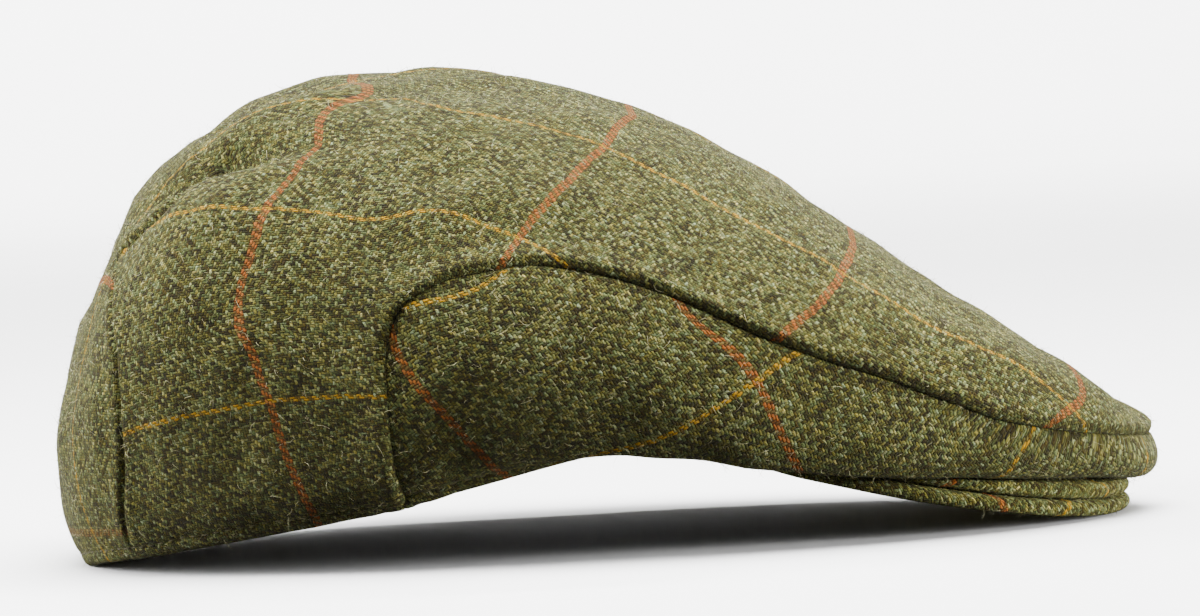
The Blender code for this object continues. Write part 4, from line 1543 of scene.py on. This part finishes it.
@dataclass
class LooseWool:
    """Stray hairs of wool that stand off the cloth."""

    seed: int = 11
    shortest: float = 0.0010
    longest: float = 0.0042
    thin: float = 0.000035
    thick: float = 0.000065
    segments: int = 3
    on_top: int = 9000
    on_side: int = 2200
    on_peak: int = 1600

    def build(
        self, name: str, points: Array, faces: list[list[int]], count: int, material: bpy.types.Material
    ) -> bpy.types.Object:
        """Builds the hairs on one piece of cloth.

        Args:
            name: The object's name.
            points: The cloth's points.
            faces: The cloth's outer faces, of four corners each or three.
            count: How many hairs.
            material: The wool's finish.

        Returns:
            The object.
        """
        rng = np.random.default_rng(self.seed + len(name))
        quads = np.array([(*f, f[-1])[:4] for f in faces])
        corners = points[quads]
        cross = np.cross(corners[:, 2] - corners[:, 0], corners[:, 3] - corners[:, 1])
        weight = np.linalg.norm(cross, axis=1)
        picked = rng.choice(len(quads), count, p=weight / weight.sum())
        a, b = rng.uniform(0, 1, (2, count, 1))
        corner = corners[picked]
        near = corner[:, 0] * (1 - a) + corner[:, 1] * a
        far = corner[:, 3] * (1 - a) + corner[:, 2] * a
        root = near * (1 - b) + far * b
        normal = unit(cross[picked])
        tangent = unit(np.cross(normal, rng.normal(size=(count, 3))))
        lift = rng.beta(1.3, 3.2, (count, 1)) * 1.1
        heading = unit(tangent * np.cos(lift) + normal * np.sin(lift))
        length = rng.uniform(self.shortest, self.longest, (count, 1)) / self.segments
        curl = rng.normal(size=(count, 3)) * 0.55
        across = unit(np.cross(heading, rng.normal(size=(count, 3))))
        flat = across * rng.uniform(self.thin, self.thick, (count, 1))
        spine = [root - normal * 0.0001]
        for _ in range(self.segments):
            spine.append(spine[-1] + heading * length)
            heading = unit(heading + np.cross(curl, heading) - normal * (lift > 0.3) * 0.15)
        rows = []
        for k, spot in enumerate(spine):
            share = 1 - 0.75 * k / self.segments
            rows += [spot - flat * share, spot + flat * share]
        cloud = np.stack(rows, 1).reshape(-1, 3)
        cloud[:, 2] = np.maximum(cloud[:, 2], self.thin)
        per = 2 * (self.segments + 1)
        base = (np.arange(count) * per)[:, None, None]
        pattern = np.array([[2 * k, 2 * k + 1, 2 * k + 3, 2 * k + 2] for k in range(self.segments)])
        return Piece.make(name, cloud, (base + pattern[None]).reshape(-1, 4).tolist(), material)


@dataclass(frozen=True)
class Yarn:
    """One wool in the mixed yarn: its colour and where it starts on the scale of the mix."""

    name: str
    start: float
    colour: tuple[float, float, float]


class Graph:
    """A short way to write a material's nodes."""

    def __init__(self, material: bpy.types.Material) -> None:
        """Starts from an empty tree."""
        material.use_nodes = True
        self.tree = material.node_tree
        self.tree.nodes.clear()

    def node(self, kind: str, **settings: object) -> bpy.types.Node:
        """Adds a node and sets its properties."""
        node = self.tree.nodes.new(kind)
        for name, value in settings.items():
            setattr(node, name, value)
        return node

    def join(self, value: object, socket: bpy.types.NodeSocket) -> None:
        """Links a socket, or sets a plain value on it."""
        if isinstance(value, bpy.types.NodeSocket):
            self.tree.links.new(value, socket)
        else:
            socket.default_value = value

    def math(
        self, operation: str, a: object, b: object = 0.0, c: object = 0.0, clamp: bool = False
    ) -> bpy.types.NodeSocket:
        """Adds one step of arithmetic.

        Args:
            operation: Blender's name of the operation.
            a: First value or socket.
            b: Second value or socket.
            c: Third value or socket.
            clamp: Whether the result is held between 0 and 1.

        Returns:
            The result's socket.
        """
        node = self.node("ShaderNodeMath", operation=operation, use_clamp=clamp)
        for value, socket in zip((a, b, c), node.inputs):
            self.join(value, socket)
        return node.outputs[0]

    def blend(self, share: object, a: object, b: object) -> bpy.types.NodeSocket:
        """Returns the number a where share is 0 and b where it is 1."""
        node = self.node("ShaderNodeMix", data_type="FLOAT")
        self.join(share, node.inputs[0])
        self.join(a, node.inputs[2])
        self.join(b, node.inputs[3])
        return node.outputs[0]

    def tint(self, share: object, a: object, b: object, mode: str = "MIX") -> bpy.types.NodeSocket:
        """Mixes two colours.

        Args:
            share: How much of the second.
            a: First colour.
            b: Second colour.
            mode: Blender's name of the way of mixing.

        Returns:
            The colour's socket.
        """
        node = self.node("ShaderNodeMix", data_type="RGBA", blend_type=mode)
        self.join(share, node.inputs[0])
        self.join(a, node.inputs[6])
        self.join(b, node.inputs[7])
        return node.outputs[2]

    def vector(self, x: object, y: object, z: object = 0.0) -> bpy.types.NodeSocket:
        """Returns three numbers as a vector."""
        node = self.node("ShaderNodeCombineXYZ")
        for value, socket in zip((x, y, z), node.inputs):
            self.join(value, socket)
        return node.outputs[0]

    def noise(
        self, place: object, scale: float, detail: float = 2.0, roughness: float = 0.5
    ) -> bpy.types.NodeSocket:
        """Returns soft noise at a place."""
        node = self.node("ShaderNodeTexNoise", noise_dimensions="3D")
        self.join(place, node.inputs["Vector"])
        node.inputs["Scale"].default_value = scale
        node.inputs["Detail"].default_value = detail
        node.inputs["Roughness"].default_value = roughness
        return node.outputs["Fac"]

    def ramp(self, at: object, stops: tuple) -> bpy.types.NodeSocket:
        """Returns the colour of a scale with the stops given as place and colour."""
        node = self.node("ShaderNodeValToRGB")
        node.color_ramp.interpolation = "LINEAR"
        while len(node.color_ramp.elements) < len(stops):
            node.color_ramp.elements.new(0.5)
        for element, (place, colour) in zip(node.color_ramp.elements, stops):
            element.position = place
            element.color = (*colour, 1.0)
        self.join(at, node.inputs[0])
        return node.outputs[0]


@dataclass(frozen=True)
class Tweed:
    """Woolly tweed in 2/2 twill: mixed yarns, orange and yellow check threads, a raised weave and painted
    shade in the gaps between the threads.
    """

    weave: Weave
    wander: float = 1.1
    fine_wander: float = 0.75
    weave_depth: float = 0.00060
    orange: tuple[float, float, float] = (0.310, 0.085, 0.010)
    yellow: tuple[float, float, float] = (0.620, 0.330, 0.006)
    yarns: tuple[Yarn, ...] = (
        Yarn("dark peat", 0.00, (0.0120, 0.0095, 0.0030)),
        Yarn("moss brown", 0.18, (0.0330, 0.0260, 0.0055)),
        Yarn("olive", 0.34, (0.0560, 0.0500, 0.0090)),
        Yarn("green", 0.48, (0.0640, 0.0730, 0.0160)),
        Yarn("sage", 0.60, (0.1000, 0.1080, 0.0320)),
        Yarn("straw green", 0.74, (0.1600, 0.1520, 0.0300)),
        Yarn("pale moss", 0.86, (0.1500, 0.1750, 0.0700)),
        Yarn("cream", 1.00, (0.3400, 0.3200, 0.1500)),
    )

    def make(self, name: str, painted_light_factor: float = 1.0) -> bpy.types.Material:
        """Makes the material.

        Args:
            name: Its name.
            painted_light_factor: Factor on the colour; above 1 it is painted light that makes a lit copy of
                the cloth.

        Returns:
            The material.
        """
        material = bpy.data.materials.new(name)
        g = Graph(material)
        place = g.node("ShaderNodeUVMap", uv_map="threads").outputs[0]
        split = g.node("ShaderNodeSeparateXYZ")
        g.join(place, split.inputs[0])
        shifted = g.vector(g.math("ADD", split.outputs[0], 40.0), g.math("ADD", split.outputs[1], 90.0))
        x, y = split.outputs[0], split.outputs[1]
        for scale, amount in ((0.17, self.wander), (0.9, self.fine_wander), (3.1, 0.35)):
            x = g.math("MULTIPLY_ADD", g.math("SUBTRACT", g.noise(place, scale, 1.0), 0.5), amount, x)
            y = g.math("MULTIPLY_ADD", g.math("SUBTRACT", g.noise(shifted, scale, 1.0), 0.5), amount, y)
        column, row = g.math("FLOOR", x), g.math("FLOOR", y)
        part_x, part_y = g.math("SUBTRACT", x, column), g.math("SUBTRACT", y, row)
        turn = g.math("FLOORED_MODULO", g.math("ADD", column, row), 4.0)
        upright = g.math("LESS_THAN", turn, 1.5)
        low_turn = g.math("SUBTRACT", turn, 2.0)
        along = g.blend(upright, g.math("ADD", low_turn, part_x), g.math("ADD", turn, part_y))
        along = g.math("MULTIPLY", along, 0.5)
        across = g.blend(upright, part_y, part_x)
        thread = g.blend(upright, row, column)
        begin = g.blend(upright, g.math("SUBTRACT", column, low_turn), g.math("SUBTRACT", row, turn))
        dice = g.node("ShaderNodeTexWhiteNoise", noise_dimensions="3D")
        g.join(g.vector(thread, begin, upright), dice.inputs["Vector"])
        bow = g.math("SUBTRACT", g.math("MULTIPLY", along, 2.0), 1.0)
        bow = g.math("SUBTRACT", 1.0, g.math("MULTIPLY", bow, bow))
        girth = g.math("SUBTRACT", g.math("MULTIPLY", across, 2.0), 1.0)
        girth = g.math("SUBTRACT", 1.0, g.math("MULTIPLY", girth, girth))
        swell = g.math("SQRT", g.math("MAXIMUM", g.math("MULTIPLY", bow, girth), 0.0))
        fuzz = g.noise(place, 2.3, 3.0, 0.65)
        melange = g.noise(place, 0.55, 2.0, 0.6)
        patch = g.noise(place, 0.06, 2.0, 0.5)
        mix = g.math("MULTIPLY", dice.outputs["Value"], 0.80)
        for noise, amount in ((melange, 0.55), (fuzz, 1.45), (patch, 0.35)):
            mix = g.math("MULTIPLY_ADD", noise, amount, mix)
        mix = g.math("SUBTRACT", mix, 1.115, clamp=True)
        colour = g.ramp(mix, tuple((yarn.start, yarn.colour) for yarn in self.yarns))
        warmth = g.math("MULTIPLY_ADD", g.noise(shifted, 0.50, 2.0, 0.6), 2.6, -1.25)
        dice_warm = g.node("ShaderNodeTexWhiteNoise", noise_dimensions="3D")
        g.join(g.vector(begin, thread, 7.0), dice_warm.inputs["Vector"])
        warmth = g.math("MULTIPLY_ADD", dice_warm.outputs["Value"], 0.9, warmth, clamp=True)
        hue = g.ramp(warmth, ((0.0, (0.84, 1.01, 1.30)), (0.5, (1.0, 1.0, 1.0)), (1.0, (1.20, 1.01, 0.70))))
        colour = g.tint(1.0, colour, hue, "MULTIPLY")
        orange_turn = g.math("FLOORED_MODULO", column, float(self.weave.orange_repeat))
        yellow_turn = g.math("FLOORED_MODULO", row, float(self.weave.yellow_repeat))
        is_orange = g.math("MULTIPLY", g.math("LESS_THAN", orange_turn, 2.5), g.blend(upright, 0.36, 0.88))
        # The line that runs into the back hem is rubbed faint
        kept = g.math("GREATER_THAN", column, -1.5 * self.weave.orange_repeat)
        is_orange = g.math("MULTIPLY", is_orange, g.math("MULTIPLY_ADD", kept, 0.65, 0.35))
        is_yellow = g.math("MULTIPLY", g.math("LESS_THAN", yellow_turn, 1.5), g.blend(upright, 0.92, 0.12))
        vivid = g.math("MULTIPLY_ADD", fuzz, 1.8, -0.25, clamp=True)
        colours = []
        for bright in (self.orange, self.yellow):
            dull = tuple(0.25 * c + 0.010 for c in bright)
            colours.append(g.tint(vivid, (*dull, 1.0), (*bright, 1.0)))
        colour = g.tint(is_orange, colour, colours[0])
        colour = g.tint(is_yellow, colour, colours[1])
        # Painted shade: the colour is darkened in the gaps between the thread floats, where shade falls.
        # The weft floats are also set darker than the warp floats in tone, and the factor on the colour
        # lightens a whole copy of the cloth as painted light.
        painted_shade_and_weft_tone = g.math("MULTIPLY_ADD", swell, 1.20, 0.05, clamp=True)
        painted_shade_and_weft_tone = g.math("MULTIPLY", painted_shade_and_weft_tone, g.blend(upright, 0.72 * painted_light_factor, 1.12 * painted_light_factor))
        painted_shade_and_tone_grey = g.node("ShaderNodeCombineColor")
        for socket in painted_shade_and_tone_grey.inputs[:3]:
            g.join(painted_shade_and_weft_tone, socket)
        colour = g.tint(1.0, colour, painted_shade_and_tone_grey.outputs[0], "MULTIPLY")
        bump = g.node("ShaderNodeBump")
        bump.inputs["Strength"].default_value = 1.0
        bump.inputs["Distance"].default_value = self.weave_depth
        g.join(g.math("MULTIPLY_ADD", fuzz, 0.9, swell), bump.inputs["Height"])
        body = g.node("ShaderNodeBsdfPrincipled")
        g.join(colour, body.inputs["Base Color"])
        g.join(g.math("MULTIPLY_ADD", fuzz, 0.12, 0.84), body.inputs["Roughness"])
        g.join(bump.outputs[0], body.inputs["Normal"])
        body.inputs["Specular IOR Level"].default_value = 0.08
        body.inputs["Sheen Weight"].default_value = 0.02
        body.inputs["Sheen Roughness"].default_value = 0.5
        body.inputs["Sheen Tint"].default_value = (0.90, 0.88, 0.66, 1.0)
        end = g.node("ShaderNodeOutputMaterial")
        g.join(body.outputs[0], end.inputs[0])
        return material


@dataclass(frozen=True)
class PlainFinish:
    """A plain finish for threads, wool and the floor."""

    name: str
    colour: tuple[float, float, float]
    roughness: float
    variation: float = 0.0
    scale: float = 200.0

    def make(self) -> bpy.types.Material:
        """Makes the material.

        Returns:
            The material, with a soft variation of its colour.
        """
        material = bpy.data.materials.new(self.name)
        g = Graph(material)
        body = g.node("ShaderNodeBsdfPrincipled")
        where = g.node("ShaderNodeTexCoord").outputs["Object"]
        spread = g.noise(where, self.scale, 2.0)
        dark = tuple(c * (1 - self.variation) for c in self.colour)
        light = tuple(min(1.0, c * (1 + self.variation)) for c in self.colour)
        g.join(g.ramp(spread, ((0.3, dark), (0.7, light))), body.inputs["Base Color"])
        body.inputs["Roughness"].default_value = self.roughness
        body.inputs["Specular IOR Level"].default_value = 0.2
        end = g.node("ShaderNodeOutputMaterial")
        g.join(body.outputs[0], end.inputs[0])
        return material


@dataclass
class Studio:
    """A plain pale floor, soft lamps and the camera."""

    floor_half: float = 9.0
    wall_start: float = 4.4
    wall_bend: float = 2.0
    target: tuple[float, float, float] = (0.00234, 0.0, 0.060)
    distance: float = 1.5
    azimuth: float = 4.0
    elevation: float = 2.5
    roll: float = 2.83
    lens: float = 178.6
    slide_right: float = 0.00184
    slide_up: float = 0.00282

    def floor(self) -> bpy.types.Object:
        """Makes the pale floor, which curves up into a wall behind the cap.

        Returns:
            The floor object.
        """
        half, bend, start = self.floor_half, self.wall_bend, self.wall_start
        line = [(-half, 0.0), (start, 0.0)]
        for turn in np.linspace(0.1, math.pi / 2, 16):
            line.append((start + bend * math.sin(turn), bend * (1 - math.cos(turn))))
        line += [(start + bend, half)]
        points = [(side * half, y, z) for y, z in line for side in (-1, 1)]
        faces = [(2 * i, 2 * i + 1, 2 * i + 3, 2 * i + 2) for i in range(len(line) - 1)]
        mesh = bpy.data.meshes.new("floor")
        mesh.from_pydata(points, [], faces)
        mesh.polygons.foreach_set("use_smooth", np.ones(len(faces), bool))
        mesh.materials.append(PlainFinish("pale_floor", (0.90, 0.90, 0.90), 0.9, 0.01, 3.0).make())
        floor = bpy.data.objects.new("floor", mesh)
        bpy.context.scene.collection.objects.link(floor)
        floor.visible_diffuse = False
        return floor

    def lamp(
        self, name: str, place: tuple, size: tuple[float, float], power: float, aim: tuple | None = None
    ) -> None:
        """Adds one soft lamp that points at the cap.

        Args:
            name: Its name.
            place: Where it hangs.
            size: Its width and height.
            power: Its power in watts.
            aim: What it points at, if not the cap.
        """
        light = bpy.data.lights.new(name, "AREA")
        light.shape = "RECTANGLE"
        light.size, light.size_y = size
        light.energy = power
        lamp = bpy.data.objects.new(name, light)
        bpy.context.scene.collection.objects.link(lamp)
        lamp.location = place
        away = Vector(place) - Vector(aim or self.target)
        lamp.rotation_euler = away.to_track_quat("Z", "Y").to_euler()

    def world(self, strength: float) -> None:
        """Makes the pale surroundings."""
        world = bpy.data.worlds.new("surroundings")
        world.use_nodes = True
        world.node_tree.nodes["Background"].inputs[0].default_value = (1.0, 1.0, 1.0, 1.0)
        world.node_tree.nodes["Background"].inputs[1].default_value = strength
        bpy.context.scene.world = world

    def camera(self) -> None:
        """Sets the camera at the photograph's viewing angle."""
        a, e, r = (math.radians(v) for v in (self.azimuth, self.elevation, self.roll))
        back = Vector((-math.sin(a) * math.cos(e), -math.cos(a) * math.cos(e), math.sin(e)))
        right = (-back).cross(Vector((0, 0, 1))).normalized()
        up = right.cross(-back)
        right_rolled = right * math.cos(r) - up * math.sin(r)
        up_rolled = up * math.cos(r) + right * math.sin(r)
        camera = bpy.data.cameras.new("camera")
        camera.lens = self.lens
        camera.sensor_width = 36.0
        camera.clip_start, camera.clip_end = 0.05, 50.0
        seat = bpy.data.objects.new("camera", camera)
        bpy.context.scene.collection.objects.link(seat)
        place = Vector(self.target) + back * self.distance
        place = place - right_rolled * self.slide_right - up_rolled * self.slide_up
        turned = Matrix((right_rolled, up_rolled, back)).transposed().to_4x4()
        seat.matrix_world = Matrix.Translation(place) @ turned
        bpy.context.scene.camera = seat

    def build(self) -> None:
        """Builds the whole stage."""
        self.floor()
        self.world(0.08)
        self.lamp("overhead", (0.12, -0.20, 1.5), (1.8, 1.4), 172.0)
        self.lamp("front_side", (1.6, -0.34, 0.17), (0.5, 0.4), 84.0)
        self.lamp("back_edge", (-1.4, 0.12, 0.5), (0.7, 0.9), 78.0)
        self.lamp("wall_light", (0.0, 3.4, 4.6), (5.0, 1.5), 2200.0, aim=(0.0, 6.2, 1.8))
        self.camera()


def main() -> None:
    """Builds the cap and its stage."""
    logging.basicConfig(level=logging.INFO, format="%(name)s %(message)s")
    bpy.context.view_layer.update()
    form = CrownForm(CapSizes())
    weave = Weave()
    tweed = Tweed(weave)
    top_cloth = tweed.make("tweed_top")
    side_cloth = tweed.make("tweed_side", 1.0)
    # The peak's copy of the cloth is painted 1.7 times lighter: painted light that stands in for the light
    # thrown up from the floor.
    peak_cloth = tweed.make("tweed_peak", 1.7)
    wool = PlainFinish("loose_wool", (0.30, 0.28, 0.16), 0.8, 0.35, 900.0).make()
    thread = PlainFinish("hem_thread", (0.045, 0.040, 0.014), 0.7, 0.25, 1500.0).make()
    _, top_shell = TopPanel(form, weave).build(top_cloth)
    hairs = LooseWool()
    outer = top_shell.faces[: top_shell.outer_faces]
    hairs.build("loose_wool_top", top_shell.points, outer, hairs.on_top, wool)
    shells = []
    for side in Side:
        _, shell = SidePanel(form, weave, side).build(side_cloth)
        shells.append(shell)
        outer = shell.faces[: shell.outer_faces]
        hairs.build(f"loose_wool_{side.name.lower()}", shell.points, outer, hairs.on_side, wool)
    for cloth in Peak(form, weave).build(shells, peak_cloth):
        mesh = cloth.data
        spots = np.array([v.co[:] for v in mesh.vertices])
        faces = [list(f.vertices) for f in mesh.polygons if len(f.vertices) == 4]
        hairs.build(f"loose_wool_{cloth.name}", spots, faces, hairs.on_peak, wool)
    proud, sunk = form.sizes.seam_proud, -form.sizes.seam_sunk
    stitches = HemStitches(form)
    stitches.build("hem_stitches_back", [(-76.0, 76.0, proud)], thread)
    stitches.build("hem_stitches_front", [(78.5, 179.2, sunk), (180.8, 281.5, sunk)], thread)
    Studio().build()


if __name__ == "__main__":
    main()
